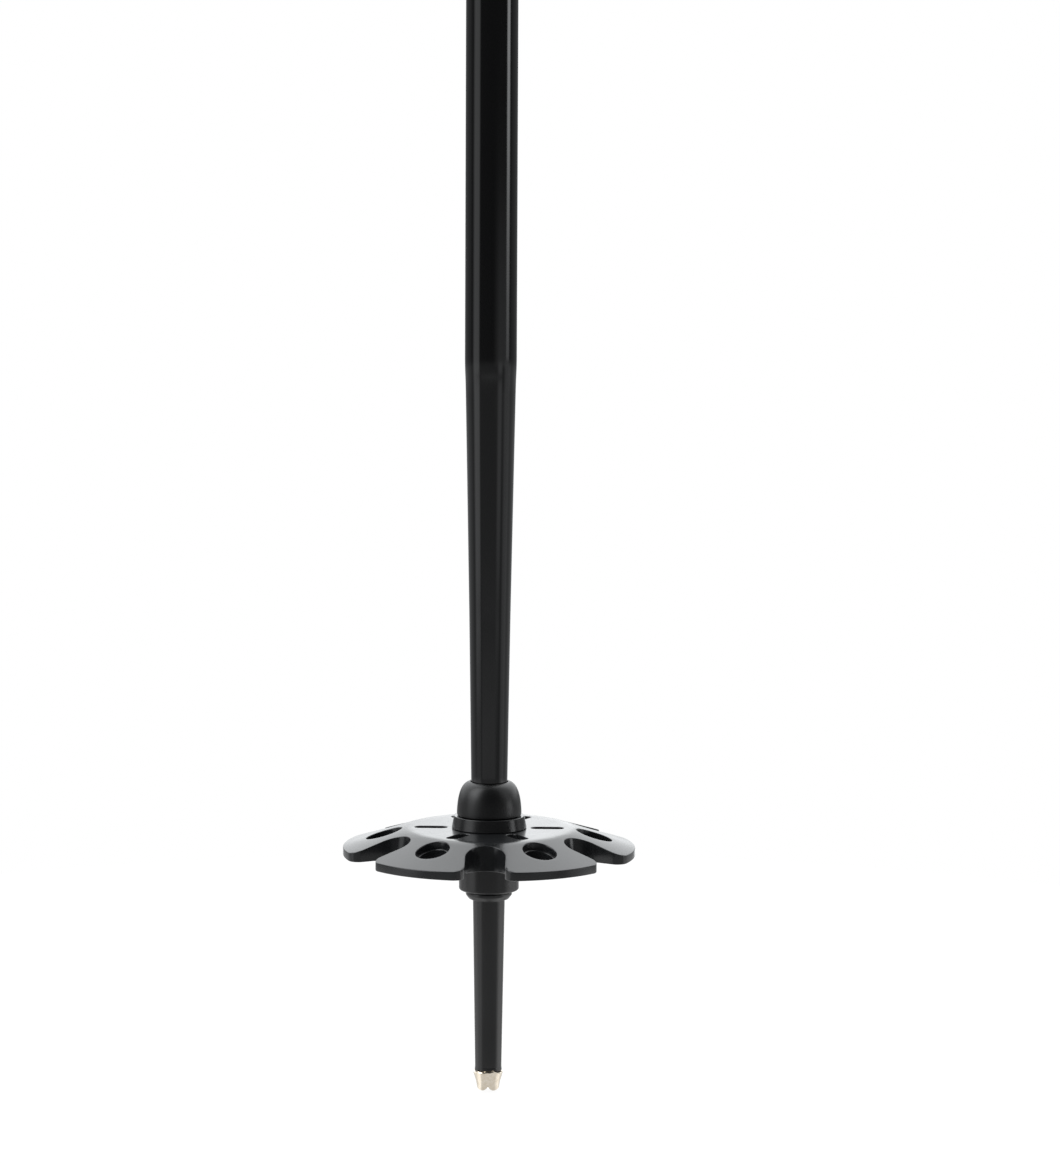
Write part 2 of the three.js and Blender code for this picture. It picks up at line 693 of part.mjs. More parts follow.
piece('tip_crown', tipCrown(), steel())
piece('ferrule_body', ferruleBody(), glossPlastic())
piece('ferrule_adhesive', ferruleAdhesive(), glue())
piece('ferrule_dome', ferruleDome(), softRubber())
piece('shaft_tube', shaftTube(), lacquer())
piece('shaft_lower_plug', shaftLowerPlug(), satinPlastic())
piece('shaft_top_plug', shaftTopPlug(), satinPlastic())
piece('basket_disc', basketDisc(), satinPlastic())
piece('basket_hub', basketHub(), glossPlastic())
piece('grip_core', gripCore(), satinPlastic())
piece('grip_sleeve', gripSleeve(), softRubber())
piece('grip_inlay_left', gripInlay(-1), satinPlastic())
piece('grip_inlay_right', gripInlay(1), satinPlastic())
piece('grip_collar', gripCollar(), glossPlastic())
piece('grip_head', gripHead(), satinPlastic())
piece('top_cap', topCap(), glossPlastic())
piece('cap_screw', capScrew(), zinc())
piece('screw_washer', screwWasher(), zinc())
piece('strap_pin', strapPin(), zinc())
piece('strap_webbing', strapWebbing(), webbing())
piece('strap_lining', strapLining(), webbing())
piece('strap_keeper', strapKeeper(), glossPlastic())
piece('strap_end_tab', strapEndTab(), softRubber())

export default pole
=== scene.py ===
"""The looks of a ski pole with a powder basket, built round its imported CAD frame.

Shapes are drawn in millimetres on the pole's axis, with the tip's lowest point at zero, and made in metres.
+Z runs up the pole and +Y is the strap's side; the camera looks along +Y.
"""

import math

import bpy
from mathutils import Matrix, Vector
from mathutils.geometry import delaunay_2d_cdt


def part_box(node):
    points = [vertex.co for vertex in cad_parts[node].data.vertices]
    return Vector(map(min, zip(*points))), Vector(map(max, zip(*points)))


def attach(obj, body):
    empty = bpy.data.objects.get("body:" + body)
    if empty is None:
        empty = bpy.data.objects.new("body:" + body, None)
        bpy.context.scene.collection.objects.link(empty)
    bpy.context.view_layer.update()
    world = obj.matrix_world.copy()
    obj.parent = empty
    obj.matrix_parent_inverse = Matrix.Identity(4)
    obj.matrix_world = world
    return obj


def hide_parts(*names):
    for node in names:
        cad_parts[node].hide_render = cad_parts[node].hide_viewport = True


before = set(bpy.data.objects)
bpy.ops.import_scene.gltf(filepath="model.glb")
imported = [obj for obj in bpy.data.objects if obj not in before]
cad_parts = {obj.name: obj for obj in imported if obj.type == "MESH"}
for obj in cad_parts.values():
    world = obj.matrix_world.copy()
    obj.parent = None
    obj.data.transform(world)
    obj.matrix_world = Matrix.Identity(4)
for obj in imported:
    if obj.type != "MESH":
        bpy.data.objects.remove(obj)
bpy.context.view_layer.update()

MM = 0.001
TURN = 2 * math.pi
SEGMENTS = 144  # round a turned piece

# ---- sizes, in millimetres, read from the frame where it has them ----


def low(node, axis=2):
    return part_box(node)[0][axis] / MM


def high(node, axis=2):
    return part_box(node)[1][axis] / MM


CROWN_TOP = 6.6
CROWN_RADIUS = 5.05
CROWN_HOLLOW = 2.4
SHANK_RADIUS = 2.45
SHANK_TOP = 26
SHANK_ROOM = 0.4  # above the shank in the ferrule
CONE_LOW = 6.9
CONE_LOW_RADIUS = 4.6
CONE_TOP = 68.2
CONE_TOP_RADIUS = 5.6
BEAD_RADIUS = 8.1
BEAD_TOP = 71.1
NECK_RADIUS = 7.5
FLANGE_RADIUS = 9.6
SOCKET_RADIUS = 6.3
SOCKET_FLOOR = 74

BASKET_RADIUS = high("basket_disc", 0)
DISC_TOP = high("basket_disc")
RIM_BOTTOM = low("basket_disc")
RIM_TOP = 86.7
DISC_FLAT_RADIUS = 29.3
DISC_SLOPE = (DISC_TOP - RIM_TOP) / (BASKET_RADIUS - DISC_FLAT_RADIUS)
CREASE = 1.6  # half the width of the bend between flat and slope
SKIN = 2.5
WALL = 2.6
EDGE = 0.22  # rounding of the lobes' upper edge
FOOT_EDGE = 0.4  # and of their lower one
HOLE_EDGE = 0.35
LEDGE_EDGE = 0.15
BORE_GAP = 0.12  # round the hub
COLLAR_WALL = 3
LOBES = 6
NOTCH_HALF = 6.9
NOTCH_CENTRE = 38.6
LOBE_CORNER = 3.6
LOBE_ROUND = 43.0  # radius of a lobe's outer edge, rounder than the basket
NOTCH_DRAFT = 0.7  # how much farther out the notch's end stands at the bottom than at the top
HOLE_CENTRE = 36.7
HOLE_LONG = 6.25
HOLE_WIDE = 5.7
HOLE_LEDGE = 0.6  # how far the boss below the skin stands in from the hole
HOLE_BOSS = 1.2  # how far it reaches past the hole
SLOT_FROM = 14.6
SLOT_TO = 26
SLOT_HALF = 2.0
TOP_SPACING = 1.5  # between the skin's inner points
UNDER_SPACING = 2.2
HUB_BOTTOM = low("basket_hub")
HUB_TOP = high("basket_hub")
HUB_RADIUS = 10.5
RING_RADIUS = high("basket_hub", 0)
RING_TOP_RADIUS = 12.25

SHAFT_RADIUS = high("shaft_tube", 0)
SHAFT_TOP = high("shaft_tube")
SHAFT_BOTTOM = low("shaft_tube")
SHAFT_WALL = 1.0
SWAGE_TOP = 255.5
SHAFT_NECK_RADIUS = 6.33
SHAFT_END_RADIUS = 5.4
SWAGE_BLEND = 2.5  # how far the swage's bends are smoothed up and down
# Heights and outside radii of the swaged tube: a quick step in at its top, then a long taper.
SHAFT_PROFILE = [
    (SHAFT_BOTTOM, SHAFT_END_RADIUS), (100, SHAFT_END_RADIUS), (108.6, SHAFT_NECK_RADIUS),
    (147, 6.87), (168, 7.19), (249, 8.72), (SWAGE_TOP, SHAFT_RADIUS), (SHAFT_TOP, SHAFT_RADIUS),
]
DOME_BOTTOM = low("ferrule_dome")
DOME_RADIUS = 11.28
DOME_SQUARENESS = 5.8
DOME_HEIGHT = 12.1
FLANGE_TOP = DOME_BOTTOM + 3
FLANGE_SHOULDER = DOME_BOTTOM + 4
SOCKET_TOP = DOME_BOTTOM + 7.5
SHAFT_CLEARANCE = 0.15  # round the shaft, in the collar

SLEEVE_BOTTOM = low("grip_sleeve")
SLEEVE_TOP = high("grip_sleeve")
COLLAR_BOTTOM = low("grip_collar")
HEAD_BOTTOM = low("grip_head")
HEAD_TOP = high("grip_head")
POLE_LENGTH = high("top_cap")
CORE_RADIUS = 11.4
PIN_RADIUS = 2.0
PIN_Y = (low("strap_pin", 1) + high("strap_pin", 1)) / 2
PIN_Z = (low("strap_pin") + high("strap_pin")) / 2
GRIP_ACROSS = 13.6  # half the grip's width, and below it half its depth
GRIP_ALONG = 15.2
FINGER_HOLLOWS = 4
HOLLOW_DEPTH = 0.9
COLLAR_FOOT_WALL = 1.6
COLLAR_WAIST = (13.6, 3.4)  # radius, and how far below the sleeve
COLLAR_TOP_RADIUS = 14.6
HEAD_SIDE = (16.2, 1.6)  # at the head's foot, and how much it swells above
HEAD_FRONT = (17.6, 2.4)
HEAD_BACK = (18.6, 8.6)
HEAD_CLOSING = 1.8
STRAP_SLOT_DEPTH = (15.5, 40)
PIN_CLEARANCE = 0.15
SCREW_ROOM_DEPTH = 10
CAP_BACK = 15
CAP_CLOSING = 0.34
BEYOND = 2  # how far a cutter reaches past what it cuts
INLAY_Z = 1100
INLAY_HALF_WIDTH = 5
INLAY_HALF_HEIGHT = 34
INLAY_GAP = 0.4
INLAY_FLOOR = 12.5  # the pocket reaches in to here and its cutter out to there
INLAY_BEYOND = 20
INLAY_THICKNESS = 1.6
CHEVRON_PITCH = 4.2
SCREW_ROOM_RADIUS = 7.2
WEBBING_WIDTH = 19.0
WEBBING_THICKNESS = 1.6
STRAP_BOTTOM = 975
STRAP_FAR_Y = 48
LINING_SPAN = (8.7, 11.2)  # from one of the strap line's points to another, counted along it
LINING_THICKNESS = 2.4
LINING_OVERHANG = 7  # wider than the webbing
TAB_SPAN = (11.6, 12.4)
TAB_THICKNESS = 1.7
STITCH_SPAN = (8.8, 11.1)
STITCH_ROWS = (-7.6, 7.6)
STITCH_SHARE = 0.72  # of a stitch's pitch that its thread takes up
LAY_GAP = 0.1  # between the webbing and what is sewn on it
KEEPER_WALL = 1.6
GAP = 0.3

# ---- camera and light ----

CAMERA_LENS = 165.9
CAMERA_DISTANCE = 1.8435
CAMERA_HEIGHT = 0.4300
CAMERA_ASIDE = 0.01385
CAMERA_PITCH = 7.726
CAMERA_ROLL = 0.277
LOBE_TURN = 1.4  # the camera stands this far round, so that it sees the front notch a little from one side
FLOOR_RADIUS = 0.45
FLOOR_DROP = -0.0005


def add_camera():
    data = bpy.data.cameras.new("camera")
    data.lens = CAMERA_LENS
    camera = bpy.data.objects.new("camera", data)
    bpy.context.scene.collection.objects.link(camera)
    place = Matrix.Translation((CAMERA_ASIDE, -CAMERA_DISTANCE, CAMERA_HEIGHT))
    tilt = Matrix.Rotation(math.radians(90 - CAMERA_PITCH), 4, "X")
    roll = Matrix.Rotation(math.radians(CAMERA_ROLL), 4, "Z")
    around = Matrix.Rotation(math.radians(LOBE_TURN), 4, "Z")
    camera.matrix_world = around @ place @ tilt @ roll
    bpy.context.scene.camera = camera


class Nodes:
    """A node tree being wired by short calls."""

    def __init__(self, tree):
        self.tree = tree
        tree.nodes.clear()

    def add(self, kind, **settings):
        node = self.tree.nodes.new(kind)
        for name, value in settings.items():
            setattr(node, name, value)
        return node

    def join(self, source, target):
        self.tree.links.new(source, target)

    def math(self, operation, *values, clamp=False):
        node = self.add("ShaderNodeMath", operation=operation, use_clamp=clamp)
        for socket, value in zip(node.inputs, values):
            if isinstance(value, (int, float)):
                socket.default_value = value
            else:
                self.join(value, socket)
        return node.outputs[0]

    def feed(self, node, **values):
        """Sets a node's inputs to plain values, or joins them to another node's outputs."""
        for name, value in values.items():
            socket = node.inputs[name.replace("_", " ")]
            if isinstance(value, bpy.types.NodeSocket):
                self.join(value, socket)
            else:
                socket.default_value = value
        return node.outputs

    def ramp(self, value, start, end, to_start=0.0, to_end=1.0):
        """A smooth step from one value to another."""
        node = self.add("ShaderNodeMapRange", interpolation_type="SMOOTHSTEP")
        return self.feed(node, Value=value, From_Min=start, From_Max=end, To_Min=to_start,
                         To_Max=to_end)["Result"]

    def window(self, value, edges):
        """1 between the two middle edges, fading to 0 at the outer two."""
        rise = self.ramp(value, edges[0], edges[1])
        fall = self.ramp(value, edges[2], edges[3], 1.0, 0.0)
        return self.math("MULTIPLY", rise, fall)

    def noise(self, vector, scale, detail=2.0, roughness=0.5):
        node = self.add("ShaderNodeTexNoise")
        return self.feed(node, Vector=vector, Scale=scale, Detail=detail, Roughness=roughness)["Fac"]

    def stretch(self, vector, scale):
        return self.feed(self.add("ShaderNodeMapping"), Vector=vector, Scale=scale)["Vector"]

    def bump(self, height, distance, strength=1.0, under=None):
        node = self.add("ShaderNodeBump")
        if under is not None:
            self.feed(node, Normal=under)
        return self.feed(node, Strength=strength, Distance=distance, Height=height)["Normal"]

    def colours(self, value, stops):
        node = self.add("ShaderNodeValToRGB")
        self.feed(node, Fac=value)
        elements = node.color_ramp.elements
        while len(elements) < len(stops):
            elements.new(0.5)
        for element, (place, colour) in zip(elements, stops):
            element.position = place
            element.color = (*colour, 1.0)
        return node.outputs["Color"]

    def azimuth(self, coordinates):
        """The angle round the pole in degrees from the camera's side, and the coordinates apart."""
        parts = self.feed(self.add("ShaderNodeSeparateXYZ"), Vector=coordinates)
        forward = self.math("MULTIPLY", parts["Y"], -1.0)
        return self.math("DEGREES", self.math("ARCTAN2", parts["X"], forward)), parts

    def finish(self, reflected, seen, output):
        """One shader for what the pole reflects and another for what the camera sees."""
        mix = self.add("ShaderNodeMixShader")
        self.join(self.add("ShaderNodeLightPath").outputs["Is Camera Ray"], mix.inputs[0])
        self.join(reflected, mix.inputs[1])
        self.join(seen, mix.inputs[2])
        self.join(mix.outputs[0], self.add(output).inputs["Surface"])


ALL_ROUND = (-500, -400, 400, 500)
GROUND = (-100, -95)
# Lights of the studio: azimuth edges from the camera's side, positive to the right, elevation edges and
# brightness. Each fades in between its two first edges and out between its two last ones, in degrees.
LIGHTS = {
    "table": (ALL_ROUND, (*GROUND, -7.2, -5.8), 0.2),
    "table_near": (ALL_ROUND, (*GROUND, -12.6, -11.6), 0.07),
    "pool_of_light": ((-50, -38, 28, 50), (-11.9, -11.5, -10.9, -10.0), 0.42),
    "slanting_edge": ((28, 42, 48, 60), (-10.4, -9.2, -8.2, -5.8), 0.55),
    "front_right_edge": ((8, 45, 68, 80), (-8.0, -6.5, -5.0, -3.0), 0.4),
    "low_left": ((-125, -100, -60, -46), (*GROUND, -11.6, -11.0), 0.5),
    "low_right": ((60, 76, 92, 108), (*GROUND, -7.1, -5.8), 0.4),
    "low_right_near": ((72, 90, 112, 128), (*GROUND, -12.4, -11.2), 0.6),
    "left_panel": ((-90, -73, -56, -47), (-10.6, -9.6, 50, 70), 0.98),
    "left_panel_upper": ((-100, -82, -50, -35), (8, 24, 55, 75), 3.0),
    "right_strip": ((70, 77, 85, 93), (-7, -1.2, 3, 9), 4.3),
    "right_strip_upper": ((50, 64, 90, 105), (8, 24, 60, 80), 0.9),
    "wall_left": ((-500, -400, -110, -85), (*GROUND, 60, 80), 0.14),
    "wall_right": ((85, 110, 400, 500), (*GROUND, 60, 80), 0.14),
    "sky_left": ((-500, -400, -120, -95), (1, 7, 80, 89), 1.4),
    "sky_right": ((95, 120, 400, 500), (1, 7, 80, 89), 1.4),
    "far_left": ((-500, -400, -179, -174), (1, 7, 22, 36), 0.7),
    "far_right": ((174, 179, 400, 500), (1, 7, 22, 36), 0.7),
    "far_low_left": ((-500, -400, -172, -162), (*GROUND, 3, 8), 1.1),
    "far_low_right": ((162, 172, 400, 500), (*GROUND, 3, 8), 1.1),
    "ceiling_left": ((-500, -400, -120, -85), (22, 36, 70, 89), 0.62),
    "ceiling_right": ((85, 120, 400, 500), (22, 36, 70, 89), 0.62),
    "zenith": (ALL_ROUND, (60, 80, 400, 500), 0.35),
}
SKY_TINT = (0.965, 0.985, 1.0)
TIP_POOL = (0.02, 0.045)  # radii on the table between which the even glow under the tip fades out
TIP_GLOW = 0.54
TIP_FLANKS = (((-92, -74, -58, -40), 0.75), ((45, 65, 85, 105), 0.5))  # azimuths where it is brighter
ROOM_LIGHT = 0.075
FLOOR_ELEVATION = -15  # the floor glows as the studio does in this direction
FLOOR_NEAR_GLOW = 0.25  # how much of that is left beside the tip
FLOOR_SEEN = 0.93


def add_lights(nodes, azimuth, elevation):
    """Brightness of the studio in a direction; a fixed elevation takes only the lights that reach it."""
    total = ROOM_LIGHT
    for sides, heights, light in LIGHTS.values():
        if isinstance(elevation, (int, float)):
            if not heights[0] < elevation < heights[3]:
                continue
            shape = nodes.window(azimuth, sides)
        else:
            shape = nodes.math("MULTIPLY", nodes.window(azimuth, sides), nodes.window(elevation, heights))
        total = nodes.math("ADD", total, nodes.math("MULTIPLY", shape, light))
    return total


def add_world():
    world = bpy.data.worlds.new("studio")
    bpy.context.scene.world = world
    world.use_nodes = True
    nodes = Nodes(world.node_tree)
    azimuth, parts = nodes.azimuth(nodes.add("ShaderNodeTexCoord").outputs["Generated"])
    elevation = nodes.math("DEGREES", nodes.math("ARCSINE", parts["Z"]))
    lights = add_lights(nodes, azimuth, elevation)
    lit = nodes.feed(nodes.add("ShaderNodeBackground"), Strength=lights, Color=(*SKY_TINT, 1))
    seen = nodes.feed(nodes.add("ShaderNodeBackground"), Color=(1, 1, 1, 1))
    nodes.finish(lit[0], seen[0], "ShaderNodeOutputWorld")


def add_floor():
    """A pale round table top; it glows as the studio does low down, so that it shades nothing unevenly. In
    reflections it also shows a painted pool of light round the tip, brighter on two flanks.
    """
    mesh = bpy.data.meshes.new("floor")
    sides = 96
    angles = [TURN * i / sides for i in range(sides)]
    rim = [(FLOOR_RADIUS * math.cos(angle), FLOOR_RADIUS * math.sin(angle), FLOOR_DROP) for angle in angles]
    mesh.from_pydata(rim, [], [list(range(sides))])
    floor = bpy.data.objects.new("floor", mesh)
    bpy.context.scene.collection.objects.link(floor)
    material = bpy.data.materials.new("pale_floor")
    material.use_nodes = True
    nodes = Nodes(material.node_tree)
    matt = nodes.feed(nodes.add("ShaderNodeBsdfDiffuse"), Color=(0.1, 0.1, 0.1, 1))
    azimuth, parts = nodes.azimuth(nodes.add("ShaderNodeTexCoord").outputs["Object"])
    across = nodes.math("POWER", parts["X"], 2.0)
    along = nodes.math("POWER", parts["Y"], 2.0)
    distance = nodes.math("SQRT", nodes.math("ADD", across, along))
    fade = nodes.ramp(distance, *TIP_POOL, FLOOR_NEAR_GLOW, 1.0)
    around = nodes.math("MULTIPLY", add_lights(nodes, azimuth, FLOOR_ELEVATION), fade)
    flanks = 1.0
    for sides, extra in TIP_FLANKS:
        flanks = nodes.math("ADD", flanks, nodes.math("MULTIPLY", nodes.window(azimuth, sides), extra))
    # painted pool of light: for what the pole reflects, the table glows brighter round the tip, and more on
    # two flanks
    pool = nodes.math("MULTIPLY", nodes.ramp(distance, *TIP_POOL, TIP_GLOW, 0.0), flanks)
    shaders = []
    for strength in (nodes.math("ADD", around, pool), FLOOR_SEEN):
        glow = nodes.feed(nodes.add("ShaderNodeEmission"), Strength=strength)
        both = nodes.add("ShaderNodeAddShader")
        nodes.join(matt[0], both.inputs[0])
        nodes.join(glow[0], both.inputs[1])
        shaders.append(both.outputs[0])
    nodes.finish(*shaders, "ShaderNodeOutputMaterial")
    mesh.materials.append(material)


# ---- materials ----


def surface(name, base, roughness, **sockets):
    """A principled material and its node tree, with what is the same all over set on its own sockets."""
    material = bpy.data.materials.new(name)
    material.use_nodes = True
    nodes = Nodes(material.node_tree)
    shader = nodes.add("ShaderNodeBsdfPrincipled")
    nodes.join(shader.outputs[0], nodes.add("ShaderNodeOutputMaterial").inputs["Surface"])
    shader.inputs["Base Color"].default_value = (*base, 1)
    shader.inputs["Roughness"].default_value = roughness
    for socket, value in sockets.items():
        shader.inputs[socket.replace("_", " ")].default_value = value
    place = nodes.add("ShaderNodeTexCoord").outputs["Object"]
    return material, nodes, shader.inputs, place


def lacquer():
    """Black lacquer over aluminium: deep gloss with a faint long-wave ripple and sparse hairline scuffs."""
    material, nodes, shader, place = surface("shaft_lacquer", (0.0035, 0.0035, 0.0038), 0.09, IOR=1.5)
    ripple = nodes.noise(nodes.stretch(place, (1, 1, 0.12)), 420, 2)
    flake = nodes.noise(place, 9000, 1)
    scuff = nodes.noise(nodes.stretch(place, (2600, 2600, 60)), 1.0, 3, 0.6)
    marks = nodes.ramp(scuff, 0.66, 0.78)
    gloss = nodes.ramp(flake, 0.3, 0.8, 0.07, 0.12)
    nodes.join(nodes.math("ADD", nodes.math("MULTIPLY", marks, 0.1), gloss), shader["Roughness"])
    smooth = nodes.bump(ripple, 0.00002, 0.35)
    nodes.join(nodes.bump(marks, 0.000004, 0.25, smooth), shader["Normal"])
    return material


def moulded(name, base, roughness, grain=0.5, grain_scale=5200, shine=0.5):
    """Moulded plastic: spark-eroded grain, slow sheen changes and faint handling marks."""
    material, nodes, shader, place = surface(name, base, roughness, Specular_IOR_Level=shine)
    fine = nodes.noise(place, grain_scale, 3, 0.6)
    slow = nodes.noise(place, 70, 2)
    spread = nodes.ramp(slow, 0.3, 0.7, roughness * 0.88, roughness * 1.12)
    nodes.join(nodes.math("ADD", spread, nodes.ramp(fine, 0.35, 0.75, 0.0, 0.05)), shader["Roughness"])
    dark = tuple(0.85 * c for c in base)
    light = tuple(1.25 * c for c in base)
    nodes.join(nodes.colours(slow, [(0.3, dark), (0.7, light)]), shader["Base Color"])
    nodes.join(nodes.bump(fine, 0.00003, grain), shader["Normal"])
    return material


def tip_metal():
    """Warm bright steel: fine turning lines, slight mottling and darker pits."""
    material, nodes, shader, place = surface("tip_steel", (0.88, 0.8, 0.68), 0.3, Metallic=1.0)
    lines = nodes.noise(nodes.stretch(place, (400, 400, 9000)), 1.0, 2)
    mottle = nodes.noise(place, 900, 3)
    tones = [(0.25, (0.74, 0.65, 0.52)), (0.75, (0.86, 0.79, 0.68))]
    nodes.join(nodes.colours(mottle, tones), shader["Base Color"])
    nodes.join(nodes.ramp(mottle, 0.3, 0.7, 0.14, 0.26), shader["Roughness"])
    nodes.join(nodes.bump(lines, 0.00002, 0.4), shader["Normal"])
    return material


def plated_metal():
    material, nodes, shader, place = surface("zinc_plate", (0.55, 0.56, 0.58), 0.35, Metallic=1.0)
    cloud = nodes.noise(place, 1400, 3)
    tones = [(0.3, (0.45, 0.46, 0.48)), (0.7, (0.66, 0.67, 0.68))]
    nodes.join(nodes.colours(cloud, tones), shader["Base Color"])
    nodes.join(nodes.ramp(cloud, 0.3, 0.7, 0.28, 0.45), shader["Roughness"])
    nodes.join(nodes.bump(cloud, 0.00001, 0.5), shader["Normal"])
    return material


def grip_rubber():
    """Soft grip rubber with a fine diamond of raised dots."""
    material, nodes, shader, place = surface("grip_rubber", (0.016,) * 3, 0.72, Specular_IOR_Level=0.35)
    dots = nodes.add("ShaderNodeTexVoronoi", feature="F1", distance="EUCLIDEAN")
    nodes.join(place, dots.inputs["Vector"])
    dots.inputs["Scale"].default_value = 900
    dots.inputs["Randomness"].default_value = 0.15
    raised = nodes.ramp(dots.outputs["Distance"], 0.15, 0.45, 1.0, 0.0)
    fine = nodes.noise(place, 7000, 2)
    nodes.join(nodes.ramp(fine, 0.3, 0.7, 0.62, 0.82), shader["Roughness"])
    tones = [(0.3, (0.013, 0.013, 0.014)), (0.7, (0.021, 0.021, 0.022))]
    nodes.join(nodes.colours(nodes.noise(place, 60, 2), tones), shader["Base Color"])
    nodes.join(nodes.bump(fine, 0.00003, 0.4, nodes.bump(raised, 0.00025, 0.7)), shader["Normal"])
    return material


def woven():
    """Woven webbing: ribs across the strap and a herringbone of yarns."""
    material, nodes, shader, _ = surface("strap_webbing", (0.014, 0.014, 0.016), 0.9, Sheen_Weight=0.35)
    yarn = nodes.add("ShaderNodeUVMap", uv_map="yarn").outputs["UV"]
    parts = nodes.add("ShaderNodeSeparateXYZ")
    nodes.join(yarn, parts.inputs[0])
    along = nodes.math("MULTIPLY", parts.outputs["X"], TURN / 1.1)
    across = nodes.math("MULTIPLY", parts.outputs["Y"], TURN / 1.5)
    shift = nodes.math("MULTIPLY", nodes.math("SIGN", nodes.math("SINE", across)), math.pi / 2)
    weft = nodes.math("ABSOLUTE", nodes.math("SINE", nodes.math("ADD", along, shift)))
    warp = nodes.math("ABSOLUTE", nodes.math("SINE", across))
    weave = nodes.math("MULTIPLY", weft, nodes.math("ADD", 0.35, nodes.math("MULTIPLY", warp, 0.65)))
    tones = [(0.1, (0.006, 0.006, 0.007)), (0.9, (0.026, 0.026, 0.029))]
    nodes.join(nodes.colours(weave, tones), shader["Base Color"])
    nodes.join(nodes.bump(weave, 0.00018, 0.9), shader["Normal"])
    return material


def knit():
    material, nodes, shader, place = surface("strap_lining", (0.028, 0.028, 0.03), 0.95, Sheen_Weight=0.6)
    cell = nodes.add("ShaderNodeTexVoronoi", feature="F1")
    nodes.join(place, cell.inputs["Vector"])
    cell.inputs["Scale"].default_value = 1100
    fuzz = nodes.noise(place, 4200, 3)
    loops = cell.outputs["Distance"]
    tones = [(0.1, (0.042, 0.042, 0.046)), (0.7, (0.014, 0.014, 0.016))]
    nodes.join(nodes.colours(loops, tones), shader["Base Color"])
    nodes.join(nodes.bump(fuzz, 0.0001, 0.5, nodes.bump(loops, 0.0003, 0.8)), shader["Normal"])
    return material


def thread():
    material, nodes, shader, place = surface("stitching_thread", (0.05, 0.05, 0.054), 0.6, Sheen_Weight=0.3)
    twist = nodes.noise(nodes.stretch(place, (1, 1, 3)), 3500, 2)
    tones = [(0.3, (0.03, 0.03, 0.033)), (0.7, (0.08, 0.08, 0.085))]
    nodes.join(nodes.colours(twist, tones), shader["Base Color"])
    nodes.join(nodes.bump(twist, 0.00008, 0.8), shader["Normal"])
    return material


# ---- mesh tools ----


def mesh_object(name, points, faces):
    mesh = bpy.data.meshes.new(name)
    mesh.from_pydata([(x * MM, y * MM, z * MM) for x, y, z in points], [], faces)
    made = bpy.data.objects.new(name, mesh)
    bpy.context.scene.collection.objects.link(made)
    return made


def shade(piece, sharp):
    """Smooth shading, but for edges sharper than an angle in degrees."""
    piece.data.shade_smooth()
    piece.data.set_sharp_from_angle(angle=math.radians(sharp))


def add_piece(name, points, faces, material, body, stands_for=(), sharp=38):
    """A mesh piece from points in millimetres, riding on a body in place of its CAD nodes."""
    piece = mesh_object(name, points, faces)
    piece.data.validate()
    shade(piece, sharp)
    piece.data.materials.append(material)
    flatten = piece.modifiers.new("even_shading", "WEIGHTED_NORMAL")
    flatten.keep_sharp = True
    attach(piece, body)
    if stands_for:
        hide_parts(*stands_for)
    return piece


def band(first, second):
    """Faces between two closed rings of point numbers."""
    count = len(first)
    return [[first[k], first[(k + 1) % count], second[(k + 1) % count], second[k]] for k in range(count)]


def rounded(corners, steps=5):
    """A closed outline from (radius, height, rounding) corners, its corners turned into arcs."""
    outline = []
    for i, (x, y, rounding) in enumerate(corners):
        here = Vector((x, y))
        if not rounding:
            outline.append((x, y))
            continue
        back = Vector(corners[i - 1][:2]) - here
        ahead = Vector(corners[(i + 1) % len(corners)][:2]) - here
        half = back.angle(ahead) / 2
        reach = min(rounding / math.tan(half), 0.48 * back.length, 0.48 * ahead.length)
        radius = reach * math.tan(half)
        start = here + back.normalized() * reach
        end = here + ahead.normalized() * reach
        middle = here + (back.normalized() + ahead.normalized()).normalized() * (radius / math.sin(half))
        first = start - middle
        sweep = first.angle_signed(end - middle)
        for k in range(steps + 1):
            angle = -sweep * k / steps
            spun = Vector((first.x * math.cos(angle) - first.y * math.sin(angle),
                           first.x * math.sin(angle) + first.y * math.cos(angle)))
            outline.append(tuple(middle + spun))
    return outline


def turned(outline, segments=SEGMENTS, shape=None):
    """Points and faces of a closed outline turned about the axis; shape(angle, radius, z) may reshape it."""
    points = []
    rings = []
    for radius, z in outline:
        if radius < 1e-6:
            rings.append([len(points)] * segments)
            points.append((0, 0, z))
            continue
        rings.append(list(range(len(points), len(points) + segments)))
        for j in range(segments):
            angle = TURN * j / segments
            r, height = shape(angle, radius, z) if shape else (radius, z)
            points.append((r * math.cos(angle), r * math.sin(angle), height))
    on_axis = outline[0][0] < 1e-6 and outline[-1][0] < 1e-6
    faces = []
    for i in range(len(rings) - (1 if on_axis else 0)):
        for corners in band(rings[i], rings[(i + 1) % len(rings)]):
            face = [c for n, c in enumerate(corners) if c != corners[n - 1]]
            if len(face) > 2:
                faces.append(face)
    return points, faces


def smooth_step(x, start, end):
    t = min(1.0, max(0.0, (x - start) / (end - start)))
    return t * t * (3 - 2 * t)


# ---- tip ----

TEETH = 4
TOOTH_DEPTH = 1.4
GROOVE_DEPTH = 0.55
CROWN_FLARE = 0.25  # how far the worn top edge stands out


def tooth(angle):
    """1 on a tooth's middle, 0 in the sharp groove between two teeth."""
    return abs(math.sin(TEETH / 2 * angle))


def chipped(angle):
    """The uneven edge where the ferrule's plastic meets the crown."""
    wave = 0.16 * math.cos(6 * angle + 1.2) + 0.08 * math.cos(11 * angle) + 0.06 * math.cos(17 * angle + 2)
    return 0.3 * (1 - math.cos(2 * angle)) + wave


